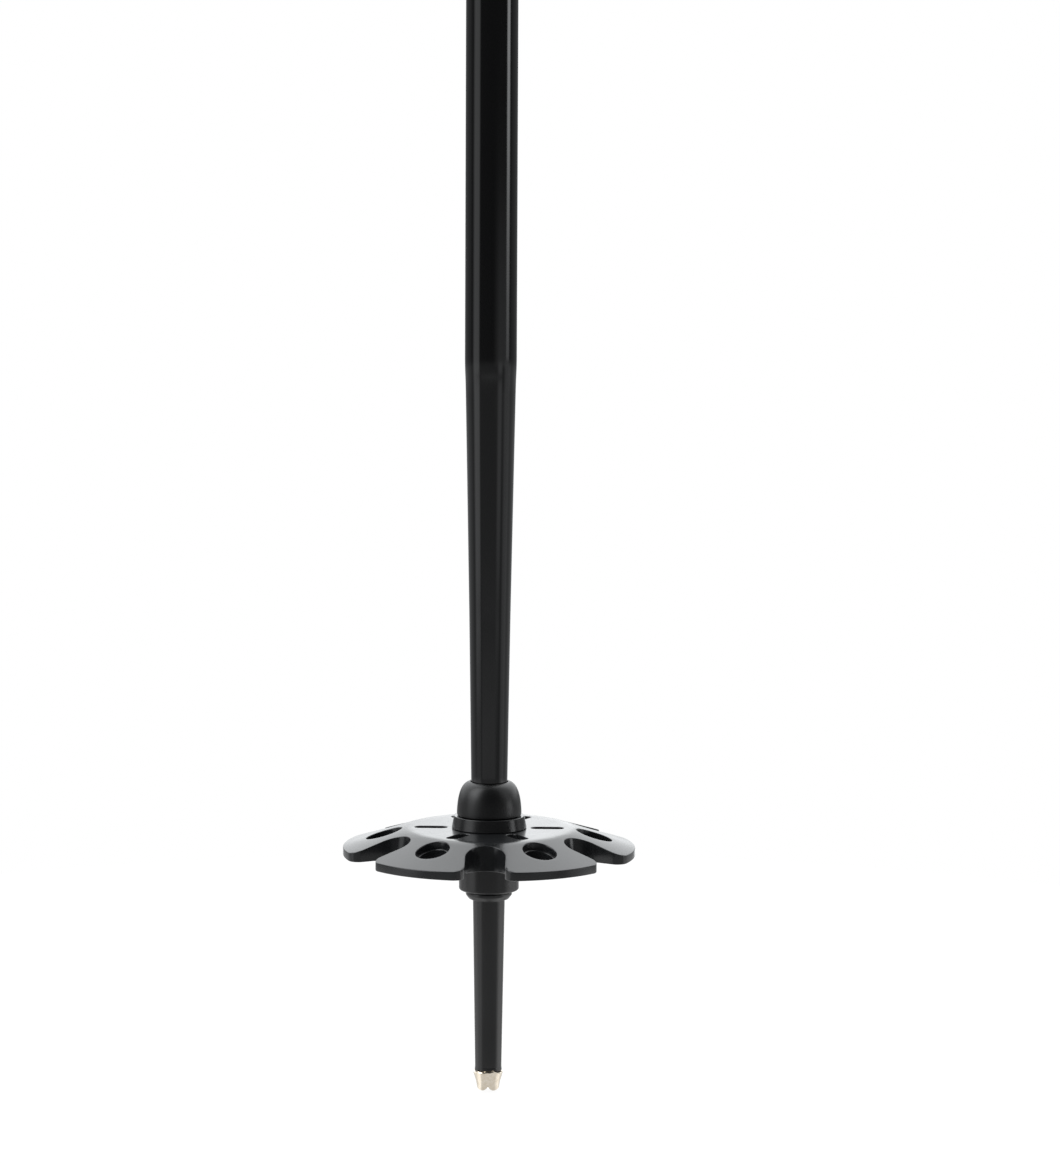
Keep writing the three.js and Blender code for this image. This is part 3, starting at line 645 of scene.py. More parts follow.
def crown_shape(angle, radius, z):
    """Grooves down the crown, and the hollow end scalloped between the teeth."""
    valley = (1 - tooth(angle)) ** 1.5
    groove = GROOVE_DEPTH * valley * smooth_step(radius, 2.6, 3.6) * (1 - 0.6 * smooth_step(z, 3, 6.2))
    lift = TOOTH_DEPTH * valley * (1 - smooth_step(z, 0.2, 3.4)) * smooth_step(radius, 0.8, 3.0)
    crest = chipped(angle) * smooth_step(z, 5.2, 6.0) * smooth_step(radius, 2.6, 4.0) if z < 8 else 0
    return radius - groove, z + lift + crest


def build_tip(steel):
    corners = [
        (0, CROWN_HOLLOW, 0), (1.6, 1.9, 0.6), (2.5, 0.35, 0.5), (3.3, 0, 0.7), (4.15, 0.75, 1.0),
        (4.5, 3.2, 2.0),
        (CROWN_RADIUS + CROWN_FLARE, CROWN_TOP - 0.35, 0.15), (CROWN_RADIUS + 0.1, CROWN_TOP, 0.15),
        (2.6, CROWN_TOP, 0.1), (SHANK_RADIUS, SHANK_TOP, 0.4), (0, SHANK_TOP, 0),
    ]
    points, faces = turned(rounded(corners, 6), 192, crown_shape)
    add_piece("tip_crown_steel", points, faces, steel, "pole", ["tip_crown"], sharp=50)


# ---- ferrule ----


def ferrule_shape(angle, radius, z):
    """The moulding's lower edge follows the crown's chipped one."""
    return radius, z + chipped(angle) * (1 - smooth_step(z, CONE_LOW, CONE_LOW + 1.4))


def build_ferrule(plastic):
    shank_end = SHANK_TOP + SHANK_ROOM
    corners = [
        (2.8, CONE_LOW, 0.1), (CROWN_RADIUS - 0.25, CONE_LOW, 0.25),
        (CONE_LOW_RADIUS + 0.03, CONE_LOW + 1.6, 0.8),
        (CONE_TOP_RADIUS, CONE_TOP, 0.5), (BEAD_RADIUS - 1.1, CONE_TOP + 0.15, 0.5),
        (BEAD_RADIUS, CONE_TOP + 1.6, 0.9), (BEAD_RADIUS, BEAD_TOP - 0.3, 0.25),
        (NECK_RADIUS, BEAD_TOP, 0.1),
        (NECK_RADIUS, DOME_BOTTOM - 2.4, 0.2), (FLANGE_RADIUS, DOME_BOTTOM, 0.2),
        (FLANGE_RADIUS, FLANGE_TOP, 0.3),
        (NECK_RADIUS, FLANGE_SHOULDER, 0.3), (NECK_RADIUS, SOCKET_TOP, 0.2),
        (SOCKET_RADIUS, SOCKET_TOP, 0.2), (SOCKET_RADIUS, SOCKET_FLOOR, 0.3), (0, SOCKET_FLOOR, 0),
        (0, shank_end, 0), (SHANK_RADIUS + 0.25, shank_end, 0.3),
    ]
    first = [(0, shank_end), (SHANK_RADIUS + 0.25, shank_end)]
    outline = first + [p for p in rounded(corners) if p not in first and p[0] > 1e-6] + [(0, SOCKET_FLOOR)]
    points, faces = turned(outline, SEGMENTS, ferrule_shape)
    add_piece("ferrule_moulding", points, faces, plastic, "pole", ["ferrule_body"])


def build_dome(rubber):
    steps = 40
    lip = SHAFT_NECK_RADIUS + 0.1
    outline = [(FLANGE_RADIUS + GAP, DOME_BOTTOM), (DOME_RADIUS - 0.35, DOME_BOTTOM)]
    outline.append((DOME_RADIUS - 0.1, DOME_BOTTOM + 0.1))
    for i in range(1, steps):
        share = math.cos(math.pi / 2 * i / steps)
        radius = DOME_RADIUS * share
        if radius < lip + 0.45:
            break
        outline.append((radius, DOME_BOTTOM + DOME_HEIGHT * math.sqrt(1 - share**DOME_SQUARENESS)))
    crown = outline[-1][1]
    outline += [(lip + 0.2, crown - 0.02), (lip, crown - 0.35), (lip, SOCKET_TOP + 1)]
    outline += [(NECK_RADIUS + GAP, SOCKET_TOP + GAP), (NECK_RADIUS + GAP, FLANGE_SHOULDER + GAP)]
    outline += [(FLANGE_RADIUS + GAP, FLANGE_TOP + GAP)]
    points, faces = turned(outline)
    add_piece("ferrule_dome_boot", points, faces, rubber, "pole", ["ferrule_dome"])


# ---- shaft ----


def shaft_radius(z):
    for (z0, r0), (z1, r1) in zip(SHAFT_PROFILE, SHAFT_PROFILE[1:]):
        if z <= z1:
            return r0 + (r1 - r0) * (z - z0) / (z1 - z0)
    return SHAFT_RADIUS


def blended_radius(z):
    """The shaft's radius, averaged over a short stretch so that its bends are soft."""
    near = [min(SHAFT_TOP, max(SHAFT_BOTTOM, z + SWAGE_BLEND * k / 4)) for k in range(-4, 5)]
    return sum(shaft_radius(height) for height in near) / len(near)


def build_shaft(paint):
    straight = SWAGE_TOP + 12
    heights = [SHAFT_BOTTOM + i for i in range(int(straight - SHAFT_BOTTOM))]
    heights += [straight + 40 * i for i in range(1, 22)] + [SHAFT_TOP]
    outside = [(blended_radius(z), z) for z in heights]
    inside = [(r - SHAFT_WALL, z) for r, z in reversed(outside)]
    points, faces = turned(outside + inside)
    add_piece("shaft_lacquered", points, faces, paint, "pole", ["shaft_tube"])


# ---- basket ----

ARC_STEPS = {"corner": 9, "rim": 30, "notch": 26, "side": 4}


def arc(cx, cy, radius, start, end, steps):
    return [(cx + radius * math.cos(start + (end - start) * k / steps),
             cy + radius * math.sin(start + (end - start) * k / steps)) for k in range(steps)]


def lobed_loop(inset, draft=0.0):
    """The lobes' outline drawn inward by an inset, with the same points in the same order every time."""
    half = NOTCH_HALF + inset
    corner = LOBE_CORNER - inset
    across = half + corner
    centre = BASKET_RADIUS - LOBE_ROUND
    rim = LOBE_ROUND - inset
    half_step = TURN / LOBES / 2
    ahead, beside = centre * math.cos(half_step), centre * math.sin(half_step)
    along = ahead + math.sqrt((rim - corner) ** 2 - (across - beside) ** 2)
    slant = half_step - math.atan2(across - beside, along - ahead)
    notch = NOTCH_CENTRE + draft
    loop = []

    def place(direction, out, aside):
        cosine, sine = math.cos(direction), math.sin(direction)
        return out * cosine - aside * sine, out * sine + aside * cosine

    for i in range(LOBES):
        lobe = TURN * i / LOBES
        before, after = lobe - half_step, lobe + half_step
        first, last = place(before, along, across), place(after, along, -across)
        loop += arc(*first, corner, before - math.pi / 2, lobe - slant, ARC_STEPS["corner"])
        loop += arc(*place(lobe, centre, 0), rim, lobe - slant, lobe + slant, ARC_STEPS["rim"])
        loop += arc(*last, corner, lobe + slant, after + math.pi / 2, ARC_STEPS["corner"])
        sides = [along + (notch - along) * k / ARC_STEPS["side"] for k in range(ARC_STEPS["side"])]
        loop += [place(after, out, -half) for out in sides]
        middle = place(after, notch, 0)
        loop += arc(*middle, half, after - math.pi / 2, after - 3 * math.pi / 2, ARC_STEPS["notch"])
        loop += [place(after, notch + along - out, half) for out in sides]
    return loop


def turned_loop(loop, turn):
    cosine, sine = math.cos(turn), math.sin(turn)
    return [(x * cosine - y * sine, x * sine + y * cosine) for x, y in loop]


def hole_loop(turn, grow):
    """An oval hole in a lobe, grown by a distance."""
    loop = []
    for k in range(48):
        a = -TURN * k / 48
        x, y = HOLE_LONG * math.cos(a), HOLE_WIDE * math.sin(a)
        nx, ny = math.cos(a) / HOLE_LONG, math.sin(a) / HOLE_WIDE
        size = math.hypot(nx, ny)
        loop.append((HOLE_CENTRE + x + grow * nx / size, y + grow * ny / size))
    return turned_loop(loop, turn)


def slot_loop(turn, grow):
    radius = SLOT_HALF + grow
    inner, outer = SLOT_FROM + SLOT_HALF, SLOT_TO - SLOT_HALF
    loop = arc(outer, 0, radius, math.pi / 2, -math.pi / 2, 12)
    loop += [(outer - (outer - inner) * k / 4, -radius) for k in range(4)]
    loop += arc(inner, 0, radius, -math.pi / 2, -3 * math.pi / 2, 12)
    loop += [(inner + (outer - inner) * k / 4, radius) for k in range(4)]
    return turned_loop(loop, turn)


def circle_loop(radius, steps=120):
    angles = [-TURN * k / steps for k in range(steps)]
    return [(radius * math.cos(angle), radius * math.sin(angle)) for angle in angles]


def disc_height(x, y):
    """Top of the basket's skin: flat round the hub, bending down into an even slope."""
    over = math.hypot(x, y) - DISC_FLAT_RADIUS
    if over <= -CREASE:
        return DISC_TOP
    if over < CREASE:
        return DISC_TOP - DISC_SLOPE * (over + CREASE) ** 2 / (4 * CREASE)
    return DISC_TOP - DISC_SLOPE * over


def within_skin(x, y, inset, margin, bore, boss):
    """Whether a point lies on the skin, clear of its edges by a margin."""
    radius = math.hypot(x, y)
    if radius < bore + margin:
        return False
    step = TURN / LOBES
    angle = math.atan2(y, x) + step / 2
    off = angle - step * round(angle / step)
    along, across = radius * math.cos(off), abs(radius * math.sin(off))
    gap = across if along > NOTCH_CENTRE else math.hypot(along - NOTCH_CENTRE, across)
    if gap < NOTCH_HALF + inset + margin:
        return False
    angle = math.atan2(y, x)
    off = angle - step * round(angle / step)
    along, across = radius * math.cos(off), radius * math.sin(off)
    if math.hypot(along - BASKET_RADIUS + LOBE_ROUND, across) > LOBE_ROUND - inset - margin:
        return False
    grown = boss + margin
    if math.hypot((along - HOLE_CENTRE) / (HOLE_LONG + grown), across / (HOLE_WIDE + grown)) < 1:
        return False
    near = min(max(along, SLOT_FROM + SLOT_HALF), SLOT_TO - SLOT_HALF)
    return math.hypot(along - near, across) > SLOT_HALF + margin


class Shell:
    """A closed mesh put together from loops, strips between loops, and patches inside them."""

    def __init__(self):
        self.points = []
        self.faces = []

    def loop(self, outline, height):
        start = len(self.points)
        self.points += [(x, y, height(x, y)) for x, y in outline]
        return list(range(start, len(self.points)))

    def strip(self, first, second):
        self.faces += band(first, second)

    def patch(self, loops, height, inset, bore, grow, boss, spacing, up):
        """Fills the skin between its loops with even triangles."""
        flat = []
        edges = []
        owners = []
        for loop in loops:
            start = len(flat)
            flat += [Vector(self.points[i][:2]) for i in loop]
            owners += loop
            edges += [(start + k, start + (k + 1) % len(loop)) for k in range(len(loop))]
        rings = int((BASKET_RADIUS - bore) / spacing)
        for i in range(rings):
            radius = bore + spacing * (i + 0.5)
            count = LOBES * round(TURN * radius / spacing / LOBES)
            for j in range(count):
                angle = TURN * (j + 0.5 * (i % 2)) / count
                x, y = radius * math.cos(angle), radius * math.sin(angle)
                if within_skin(x, y, inset, grow + 0.45 * spacing, bore, boss):
                    owners.append(len(self.points))
                    self.points.append((x, y, height(x, y)))
                    flat.append(Vector((x, y)))
        out = delaunay_2d_cdt(flat, edges, [], 1, 1e-7)
        sources = [s[0] if s else None for s in out[3]]
        for face in out[2]:
            corners = [owners[sources[v]] for v in face]
            cx = sum(self.points[c][0] for c in corners) / 3
            cy = sum(self.points[c][1] for c in corners) / 3
            if within_skin(cx, cy, inset, grow - 0.02, bore - 0.02, boss):
                self.faces.append(corners if up else corners[::-1])


def round_over(shell, outline_at, height, edge, steps=4):
    """Loops down a rounded edge: from the skin's surface to the wall below it."""
    loops = []
    for k in range(steps + 1):
        angle = math.pi / 2 * k / steps
        into, drop = edge * (1 - math.sin(angle)), edge * (1 - math.cos(angle))
        loops.append(shell.loop(outline_at(into), lambda x, y, d=drop: height(x, y) - d))
    return loops


def build_disc(plastic):
    shell = Shell()
    bore = HUB_RADIUS + BORE_GAP
    collar = HUB_RADIUS + COLLAR_WALL
    steps = [TURN * i / LOBES for i in range(LOBES)]

    def under(x, y):
        return disc_height(x, y) - SKIN

    def floor(x, y):
        return RIM_BOTTOM

    edge_loops = round_over(shell, lobed_loop, disc_height, EDGE)
    bottom_loops = []
    corner_steps = 3
    for k in range(corner_steps + 1):
        angle = math.pi / 2 * k / corner_steps
        into, rise = FOOT_EDGE * (1 - math.cos(angle)), FOOT_EDGE * (1 - math.sin(angle))
        bottom_loops.append(shell.loop(lobed_loop(into, NOTCH_DRAFT), lambda x, y, r=rise: RIM_BOTTOM + r))
    inner_low = shell.loop(lobed_loop(WALL, NOTCH_DRAFT), floor)
    inner_high = shell.loop(lobed_loop(WALL), under)
    outside = edge_loops + bottom_loops + [inner_low, inner_high]
    for first, second in zip(outside, outside[1:]):
        shell.strip(second, first)

    top = [edge_loops[0]]
    below = [inner_high]
    for make, turn in [(m, t) for m in (hole_loop, slot_loop) for t in steps]:
        loops = round_over(shell, lambda into, m=make, t=turn: m(t, into), disc_height, HOLE_EDGE, 3)
        loops.append(shell.loop(make(turn, 0), under))
        if make is hole_loop:
            loops.append(shell.loop(hole_loop(turn, LEDGE_EDGE - HOLE_LEDGE), under))
            loops.append(shell.loop(hole_loop(turn, -HOLE_LEDGE), lambda x, y: under(x, y) - LEDGE_EDGE))
            loops.append(shell.loop(hole_loop(turn, -HOLE_LEDGE), floor))
            loops.append(shell.loop(hole_loop(turn, HOLE_BOSS), floor))
            loops.append(shell.loop(hole_loop(turn, HOLE_BOSS), under))
        for first, second in zip(loops, loops[1:]):
            shell.strip(second, first)
        top.append(loops[0])
        below.append(loops[-1])

    bore_top = shell.loop(circle_loop(bore), disc_height)
    bore_low = shell.loop(circle_loop(bore), floor)
    collar_low = shell.loop(circle_loop(collar), floor)
    collar_high = shell.loop(circle_loop(collar), under)
    for first, second in [(bore_top, bore_low), (bore_low, collar_low), (collar_low, collar_high)]:
        shell.strip(second, first)
    shell.patch(top + [bore_top], disc_height, EDGE, bore, HOLE_EDGE, 0.0, TOP_SPACING, True)
    shell.patch(below + [collar_high], under, WALL, collar, 0.0, HOLE_BOSS, UNDER_SPACING, False)
    add_piece("basket_shell", shell.points, shell.faces, plastic, "basket", ["basket_disc"],
              sharp=32)


def build_hub(plastic):
    bore = NECK_RADIUS + GAP
    corners = [
        (bore, HUB_BOTTOM, 0.3), (HUB_RADIUS, HUB_BOTTOM, 0.9), (HUB_RADIUS, DISC_TOP + 0.1, 0.05),
        (RING_RADIUS - 0.15, DISC_TOP + 0.1, 0.05), (RING_RADIUS, DISC_TOP + 0.3, 0.15),
        (RING_TOP_RADIUS, HUB_TOP, 0.2), (FLANGE_RADIUS + 0.4, HUB_TOP, 0.2), (bore, DOME_BOTTOM - 3, 0.3),
    ]
    points, faces = turned(rounded(corners, 6))
    add_piece("basket_hub_bushing", points, faces, plastic, "basket", ["basket_hub"], 45)


# ---- grip ----


def grip_point(angle, height):
    """Outside of the hand grip, in millimetres, at a share of its height."""
    z = SLEEVE_BOTTOM + height * (SLEEVE_TOP - SLEEVE_BOTTOM)
    front = max(0.0, -math.sin(angle))
    depth = HOLLOW_DEPTH * front * smooth_step(height, 0, 0.12)
    waves = depth * math.cos(TURN * FINGER_HOLLOWS * (height - 0.06))
    foot = 1.6 * (1 - smooth_step(height, 0, 0.14))
    shoulder = 2.4 * smooth_step(height, 0.82, 1)
    across = GRIP_ACROSS + foot + shoulder
    along = GRIP_ALONG + foot + shoulder + waves - 0.6 * max(0.0, math.sin(angle))
    return across * math.cos(angle), along * math.sin(angle), z


def head_point(angle, height):
    """Outside of the head, drawn out behind to hold the strap."""
    z = HEAD_BOTTOM + height * (HEAD_TOP - HEAD_BOTTOM)
    grow = smooth_step(height, 0, 0.55)
    close = HEAD_CLOSING * smooth_step(height, 0.8, 1)
    across, front, back = [foot + swell * grow - close for foot, swell in (HEAD_SIDE, HEAD_FRONT, HEAD_BACK)]
    sine, cosine = math.sin(angle), math.cos(angle)
    power = 4.6 if sine > 0 else 2.6  # squarer behind, where its cheeks hold the strap's pin
    square = (abs(cosine) ** power + abs(sine) ** power) ** (-1 / power)
    return across * cosine * square, (back if sine > 0 else front) * sine * square, z


def lofted(point_at, rings, segments, bore=None):
    """A closed skin through rings of points, with rounded ends; a bore makes it a tube."""
    points = []
    faces = []
    for i in range(rings + 1):
        for j in range(segments):
            points.append(point_at(TURN * j / segments, i / rings))
    grid = [[i * segments + j for j in range(segments)] for i in range(rings + 1)]
    for first, second in zip(grid, grid[1:]):
        faces += band(first, second)
    ends = []
    for ring in (grid[0], grid[-1]):
        z = points[ring[0]][2]
        start = len(points)
        if bore:
            for j in range(segments):
                angle = TURN * j / segments
                points.append((bore * math.cos(angle), bore * math.sin(angle), z))
            ends.append(list(range(start, start + segments)))
        else:
            points.append((0, sum(points[i][1] for i in ring) / segments, z))
            ends.append([start] * segments)
    if bore:
        faces += band(ends[0], grid[0]) + band(grid[-1], ends[1]) + band(ends[1], ends[0])
    else:
        for j in range(segments):
            k = (j + 1) % segments
            faces.append([ends[0][0], grid[0][k], grid[0][j]])
            faces.append([ends[1][0], grid[-1][j], grid[-1][k]])
    return points, faces


def apply(piece, modifier):
    with bpy.context.temp_override(object=piece, active_object=piece):
        bpy.ops.object.modifier_apply(modifier=modifier.name)


def cut(piece, points, faces):
    """Takes a closed shape out of a piece."""
    cutter = mesh_object("cutter", points, faces)
    modifier = piece.modifiers.new("cut", "BOOLEAN")
    modifier.operation = "DIFFERENCE"
    modifier.solver = "EXACT"
    modifier.object = cutter
    apply(piece, modifier)
    bpy.data.objects.remove(cutter)


def box_points(x, y, z):
    points = [(a, b, c) for a in x for b in y for c in z]
    faces = [[0, 1, 3, 2], [4, 6, 7, 5], [0, 4, 5, 1], [2, 3, 7, 6], [0, 2, 6, 4], [1, 5, 7, 3]]
    return points, faces


def soften(piece, width, segments=3, angle=40):
    """Rounds a piece's sharp edges and applies it."""
    modifier = piece.modifiers.new("soft_edges", "BEVEL")
    modifier.width = width * MM
    modifier.segments = segments
    modifier.limit_method = "ANGLE"
    modifier.angle_limit = math.radians(angle)
    apply(piece, modifier)
    shade(piece, 50)


def rod_points(radius, x, y, z, segments=48):
    points, faces = turned([(0, x[0]), (radius, x[0]), (radius, x[1]), (0, x[1])], segments)
    return [(h, y + a, z + b) for a, b, h in points], faces


def inlay_room(side, steps=64):
    """An oval plug that cuts the inlay's pocket out of the sleeve."""
    outline = []
    for k in range(steps):
        angle = TURN * k / steps
        outline.append((INLAY_HALF_WIDTH * math.cos(angle), INLAY_Z + INLAY_HALF_HEIGHT * math.sin(angle)))
    inner, outer = sorted([side * INLAY_FLOOR, side * INLAY_BEYOND])
    points = [(inner, y, z) for y, z in outline] + [(outer, y, z) for y, z in outline]
    faces = band(list(range(steps)), list(range(steps, 2 * steps)))
    return points, faces + [list(range(steps - 1, -1, -1)), list(range(steps, 2 * steps))]


def build_grip(rubber, plastic, gloss, zinc):
    def sleeve_point(angle, height):
        x, y, z = grip_point(angle, height)
        end = min(height, 1 - height) * (SLEEVE_TOP - SLEEVE_BOTTOM)
        tuck = 1.0 - math.sqrt(max(0.0, 1 - (1 - min(1.0, end)) ** 2))
        return x - tuck * math.cos(angle), y - tuck * math.sin(angle), z

    points, faces = lofted(sleeve_point, 220, 128, CORE_RADIUS + GAP)
    sleeve = add_piece("grip_sleeve_rubber", points, faces, rubber, "pole", ["grip_sleeve"])
    for side in (-1, 1):
        cut(sleeve, *inlay_room(side))
        build_inlay(side, plastic)
    shade(sleeve, 40)
    build_collar(gloss)
    build_head(plastic, gloss, zinc)


def build_collar(gloss):
    bore = SHAFT_RADIUS + SHAFT_CLEARANCE
    waist_radius, waist_drop = COLLAR_WAIST
    corners = [
        (bore, COLLAR_BOTTOM, 0.1), (SHAFT_RADIUS + COLLAR_FOOT_WALL, COLLAR_BOTTOM, 0.6),
        (waist_radius, SLEEVE_BOTTOM - waist_drop, 1.5), (COLLAR_TOP_RADIUS, SLEEVE_BOTTOM - GAP, 0.4),
        (bore, SLEEVE_BOTTOM - GAP, 0.1),
    ]
    points, faces = turned(rounded(corners))
    add_piece("grip_collar_ring", points, faces, gloss, "pole", ["grip_collar"])


def build_inlay(side, plastic):
    """An insert in the grip's side, with raised chevrons across it."""
    rows, columns = 96, 20
    points = []
    for lift in (0, 1):
        for i in range(rows + 1):
            t = -1 + 2 * i / rows
            half = (INLAY_HALF_WIDTH - INLAY_GAP) * math.sqrt(max(0.0, 1 - t * t)) + 0.02
            for j in range(columns + 1):
                s = -1 + 2 * j / columns
                y, z = half * s, INLAY_Z + (INLAY_HALF_HEIGHT - INLAY_GAP) * t
                height = (z - SLEEVE_BOTTOM) / (SLEEVE_TOP - SLEEVE_BOTTOM)
                angle = math.atan2(y / GRIP_ALONG, side)
                x = grip_point(angle, height)[0]
                wave = math.cos(TURN * (z + 0.9 * abs(y)) / CHEVRON_PITCH)
                edge = min(1.0, 3.2 * (1 - t * t)) * min(1.0, 4 * (1 - s * s) + 0.001)
                proud = -0.35 + 0.3 * max(0.0, wave) * edge if lift else -INLAY_THICKNESS
                points.append((x + side * proud, y, z))
    size = (rows + 1) * (columns + 1)
    faces = []
    for i in range(rows):
        for j in range(columns):
            a = i * (columns + 1) + j
            quad = [a, a + 1, a + columns + 2, a + columns + 1]
            low_face = quad if side < 0 else quad[::-1]
            faces.append(low_face)
            faces.append([size + v for v in reversed(low_face)])
    rim = list(range(columns + 1))
    rim += [i * (columns + 1) + columns for i in range(1, rows + 1)]
    rim += [rows * (columns + 1) + j for j in range(columns - 1, -1, -1)]
    rim += [i * (columns + 1) for i in range(rows - 1, 0, -1)]
    for k, v in enumerate(rim):
        w = rim[(k + 1) % len(rim)]
        face = [v, w, size + w, size + v]
        faces.append(face[::-1] if side < 0 else face)
    name = "left" if side < 0 else "right"
    node = f"grip_inlay_{name}"
    add_piece(f"{node}_ribbed", points, faces, plastic, "pole", [node], sharp=45)


def build_head(plastic, gloss, zinc):
    points, faces = lofted(head_point, 60, 128)
    head = add_piece("grip_head_moulding", points, faces, plastic, "pole", ["grip_head"])
    slot_half = WEBBING_WIDTH / 2 + 1
    above = HEAD_TOP + BEYOND
    cut(head, *box_points((-slot_half, slot_half), STRAP_SLOT_DEPTH, (HEAD_BOTTOM - BEYOND, above)))
    cut(head, *rod_points(PIN_RADIUS + PIN_CLEARANCE, (-30, 30), PIN_Y, PIN_Z))
    floor = HEAD_TOP - SCREW_ROOM_DEPTH
    room = [(0, floor), (SCREW_ROOM_RADIUS, floor), (SCREW_ROOM_RADIUS, above), (0, above)]
    cut(head, *turned(room, 64))
    soften(head, 0.7)

    def cap_point(angle, height):
        x, y, _ = head_point(angle, 1)
        shrink = 1 - CAP_CLOSING * height**2.4
        z = HEAD_TOP + GAP + height * (POLE_LENGTH - HEAD_TOP - GAP)
        return x * shrink, min(y, CAP_BACK) * shrink, z

    points, faces = lofted(cap_point, 32, 128)
    cap = add_piece("top_cap_snap", points, faces, gloss, "pole", ["top_cap"])
    soften(cap, 0.8, 4, 45)
    points, faces = rod_points(PIN_RADIUS, (low("strap_pin", 0), high("strap_pin", 0)), PIN_Y, PIN_Z)
    pin = add_piece("strap_pin_steel", points, faces, zinc, "pole", ["strap_pin"])
    soften(pin, 0.3)


# ---- strap ----


def strap_knots():
    """Places on the webbing's middle line in Y and Z, with the bend round the pin at the end."""
    eye = PIN_RADIUS + 2 * GAP + WEBBING_THICKNESS / 2
    near, outer, far = PIN_Y - eye, PIN_Y + eye, STRAP_FAR_Y
    knots = [
        (near, 1160), (near, 1147), (near, 1134), (near + 1, 1100), (near + 2, 1060), (near + 3, 1015),
        (near + 7, 988), (36, STRAP_BOTTOM), (far - 3, 987), (far, 1012), (far - 2, 1050), (far - 9, 1092),
        (outer + 4, 1116), (outer, 1134), (outer, 1147), (outer, 1160),
    ]
    for angle in range(0, 181, 30):
        turn = math.radians(angle)
        knots.append((PIN_Y + eye * math.cos(turn), PIN_Z + eye * math.sin(turn)))
    return knots


def strap_point(share):
    """A point on the closed centripetal curve through the knots; share counts knots."""
    knots = strap_knots()
    count = len(knots)
    i = int(math.floor(share))
    t = share - i
    p = [Vector(knots[(i + k) % count]) for k in (-1, 0, 1, 2)]
    gaps = [max(1e-6, (p[k + 1] - p[k]).length) ** 0.5 for k in range(3)]

    def tangent(a, b, c, g0, g1):
        return ((b - a) / g0 - (c - a) / (g0 + g1) + (c - b) / g1) * gaps[1]

    start = tangent(p[0], p[1], p[2], gaps[0], gaps[1])
    end = tangent(p[1], p[2], p[3], gaps[1], gaps[2])
    h = 2 * t**3 - 3 * t**2 + 1, t**3 - 2 * t**2 + t, -2 * t**3 + 3 * t**2, t**3 - t**2
    return p[1] * h[0] + start * h[1] + p[2] * h[2] + end * h[3]


def strap_frames(start, end, per_knot):
    """(middle, direction away from the loop's inside) along the strap."""
    count = max(2, round((end - start) * per_knot))
    frames = []
    for i in range(count + 1):
        share = start + (end - start) * i / count
        middle = strap_point(share)
        run = (strap_point(share + 0.01) - strap_point(share - 0.01)).normalized()
        frames.append((middle, Vector((-run.y, run.x))))
    return frames


def ribbon(name, frames, section, material, stands_for, closed=False):
    """A strip whose section, (across, off) pairs, follows the strap; its yarn map is in millimetres."""
    points = []
    places = []
    travelled = 0.0
    for i, (middle, off) in enumerate(frames):
        if i:
            travelled += (middle - frames[i - 1][0]).length
        for across, away in section:
            spot = middle + off * away
            points.append((across, spot.x, spot.y))
            places.append((travelled, across))
    count = len(section)
    total = len(frames)
    faces = []
    rings = [list(range(i * count, (i + 1) * count)) for i in range(total)]
    for i in range(total if closed else total - 1):
        faces += band(rings[i], rings[(i + 1) % total])
    if not closed:
        faces += [rings[0][::-1], rings[-1]]
    piece = add_piece(name, points, faces, material, "strap", stands_for, sharp=60)
    layer = piece.data.uv_layers.new(name="yarn")
    for item in piece.data.loops:
        layer.data[item.index].uv = places[item.vertex_index]
    return piece


def strip_section(width, inner, outer, edge, steps=4):
    """A flat section with rounded edges, from one distance to another off the middle line."""
    half = width / 2
    corners = [(-half, inner, edge), (half, inner, edge), (half, outer, edge), (-half, outer, edge)]
    return rounded(corners, steps)


def build_strap(webbing, lining, gloss, rubber, yarn):
    half = WEBBING_THICKNESS / 2
    frames = strap_frames(0, len(strap_knots()), 10)[:-1]
    section = strip_section(WEBBING_WIDTH, -half, half, edge=0.6)
    ribbon("strap_webbing_loop", frames, section, webbing, ["strap_webbing"], closed=True)
    near = half + LAY_GAP
    frames = strap_frames(*LINING_SPAN, 24)
    width = WEBBING_WIDTH + LINING_OVERHANG
    section = strip_section(width, near, near + LINING_THICKNESS, edge=1.1, steps=6)
    pad = ribbon("strap_lining_pad", frames, section, lining, ["strap_lining"])
    frames = strap_frames(*TAB_SPAN, 24)
    section = strip_section(WEBBING_WIDTH, -near - TAB_THICKNESS, -near, edge=0.5)
    ribbon("strap_end_tab_moulded", frames, section, rubber, ["strap_end_tab"])
    build_keeper(gloss)
    build_stitching(yarn)


def build_keeper(gloss):
    x, y, z = [(low("strap_keeper", axis), high("strap_keeper", axis)) for axis in range(3)]
    points, faces = box_points(x, y, z)
    keeper = add_piece("strap_keeper_moulding", points, faces, gloss, "keeper", ["strap_keeper"])
    inner_x = (x[0] + KEEPER_WALL, x[1] - KEEPER_WALL)
    inner_y = (y[0] + 0.75 * KEEPER_WALL, y[1] - KEEPER_WALL)
    cut(keeper, *box_points(inner_x, inner_y, (z[0] - BEYOND, z[1] + BEYOND)))
    soften(keeper, 0.5, 4)


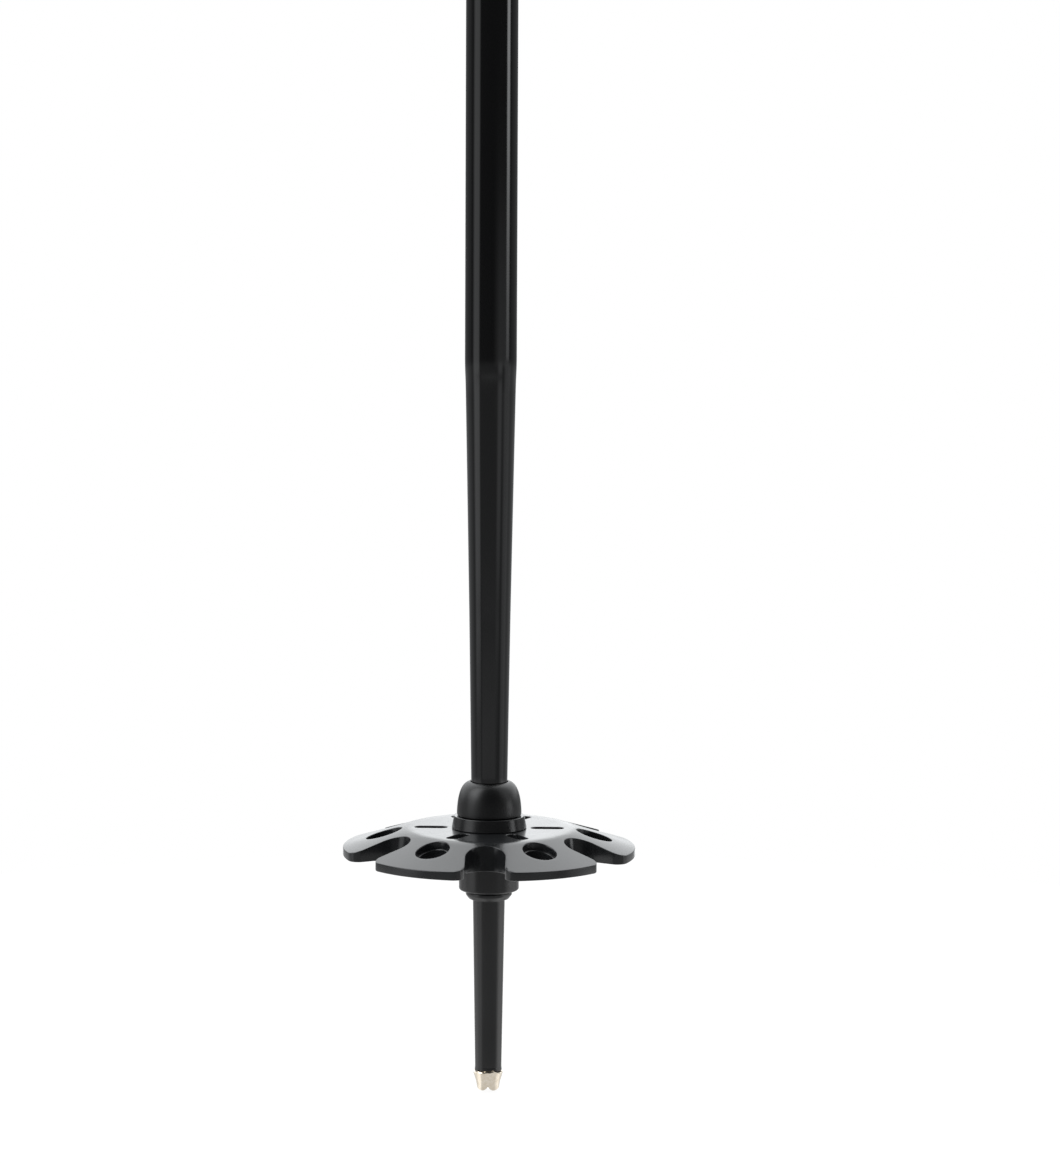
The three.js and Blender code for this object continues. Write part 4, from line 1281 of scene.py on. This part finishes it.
def build_stitching(yarn):
    """Two rows of thread along the lining's edges."""
    points = []
    faces = []

    def stitch(a, b, off, radius=0.24, sides=8, rings=6):
        start = len(points)
        run = (b - a).normalized()
        aside = run.cross(off).normalized()
        for i in range(rings + 1):
            t = i / rings
            middle = a.lerp(b, t) + off * (0.22 * math.sin(math.pi * t) - 0.1)
            size = radius * (0.35 + 0.65 * max(0.0, math.sin(math.pi * t)) ** 0.5)
            for k in range(sides):
                angle = TURN * k / sides
                points.append(tuple(middle + (aside * math.cos(angle) + off * math.sin(angle)) * size))
        loops = [list(range(start + i * sides, start + (i + 1) * sides)) for i in range(rings + 1)]
        for first, second in zip(loops, loops[1:]):
            faces.extend(band(first, second))
        faces.extend([loops[0][::-1], loops[-1]])

    surface_off = WEBBING_THICKNESS / 2 + LAY_GAP
    frames = strap_frames(*STITCH_SPAN, 18)
    for (first, off), (second, _) in zip(frames, frames[1:]):
        for across in STITCH_ROWS:
            outward = Vector((0, -off.x, -off.y))
            a = first - off * surface_off
            b = second - off * surface_off
            stitch(Vector((across, a.x, a.y)), Vector((across, *a.lerp(b, STITCH_SHARE))), outward)
    add_piece("strap_stitching", points, faces, yarn, "strap", (), sharp=60)


# ---- all of it ----


def finish_hidden(materials):
    """The pieces that show only when the pole is opened keep their CAD shape and get their materials."""
    for node, material in materials.items():
        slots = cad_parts[node].data.materials
        slots.clear()
        slots.append(material)


add_camera()
add_world()
add_floor()
bpy.context.scene.view_settings.view_transform = "Standard"

ferrule_plastic = moulded("ferrule_plastic", (0.0102, 0.0102, 0.0106), 0.18, 0.25)
hub_plastic = moulded("hub_plastic", (0.0105, 0.0105, 0.011), 0.18, 0.25)
basket_plastic = moulded("basket_plastic", (0.012, 0.0127, 0.0136), 0.17, 0.12)
dome_rubber = moulded("dome_rubber", (0.0032, 0.0032, 0.0034), 0.36, 0.5, 6500)
head_plastic = moulded("grip_plastic", (0.02, 0.02, 0.021), 0.45, 0.8, 3200)
cap_plastic = moulded("cap_plastic", (0.01, 0.01, 0.011), 0.16, 0.15)
glue = moulded("adhesive", (0.5, 0.36, 0.14), 0.4, 0.4)
rubber = grip_rubber()
zinc = plated_metal()

build_tip(tip_metal())
build_ferrule(ferrule_plastic)
build_dome(dome_rubber)
build_shaft(lacquer())
build_disc(basket_plastic)
build_hub(hub_plastic)
build_grip(rubber, head_plastic, cap_plastic, zinc)
build_strap(woven(), knit(), cap_plastic, rubber, thread())
finish_hidden({
    "ferrule_adhesive": glue, "shaft_lower_plug": head_plastic, "shaft_top_plug": head_plastic,
    "grip_core": head_plastic, "cap_screw": zinc, "screw_washer": zinc,
})
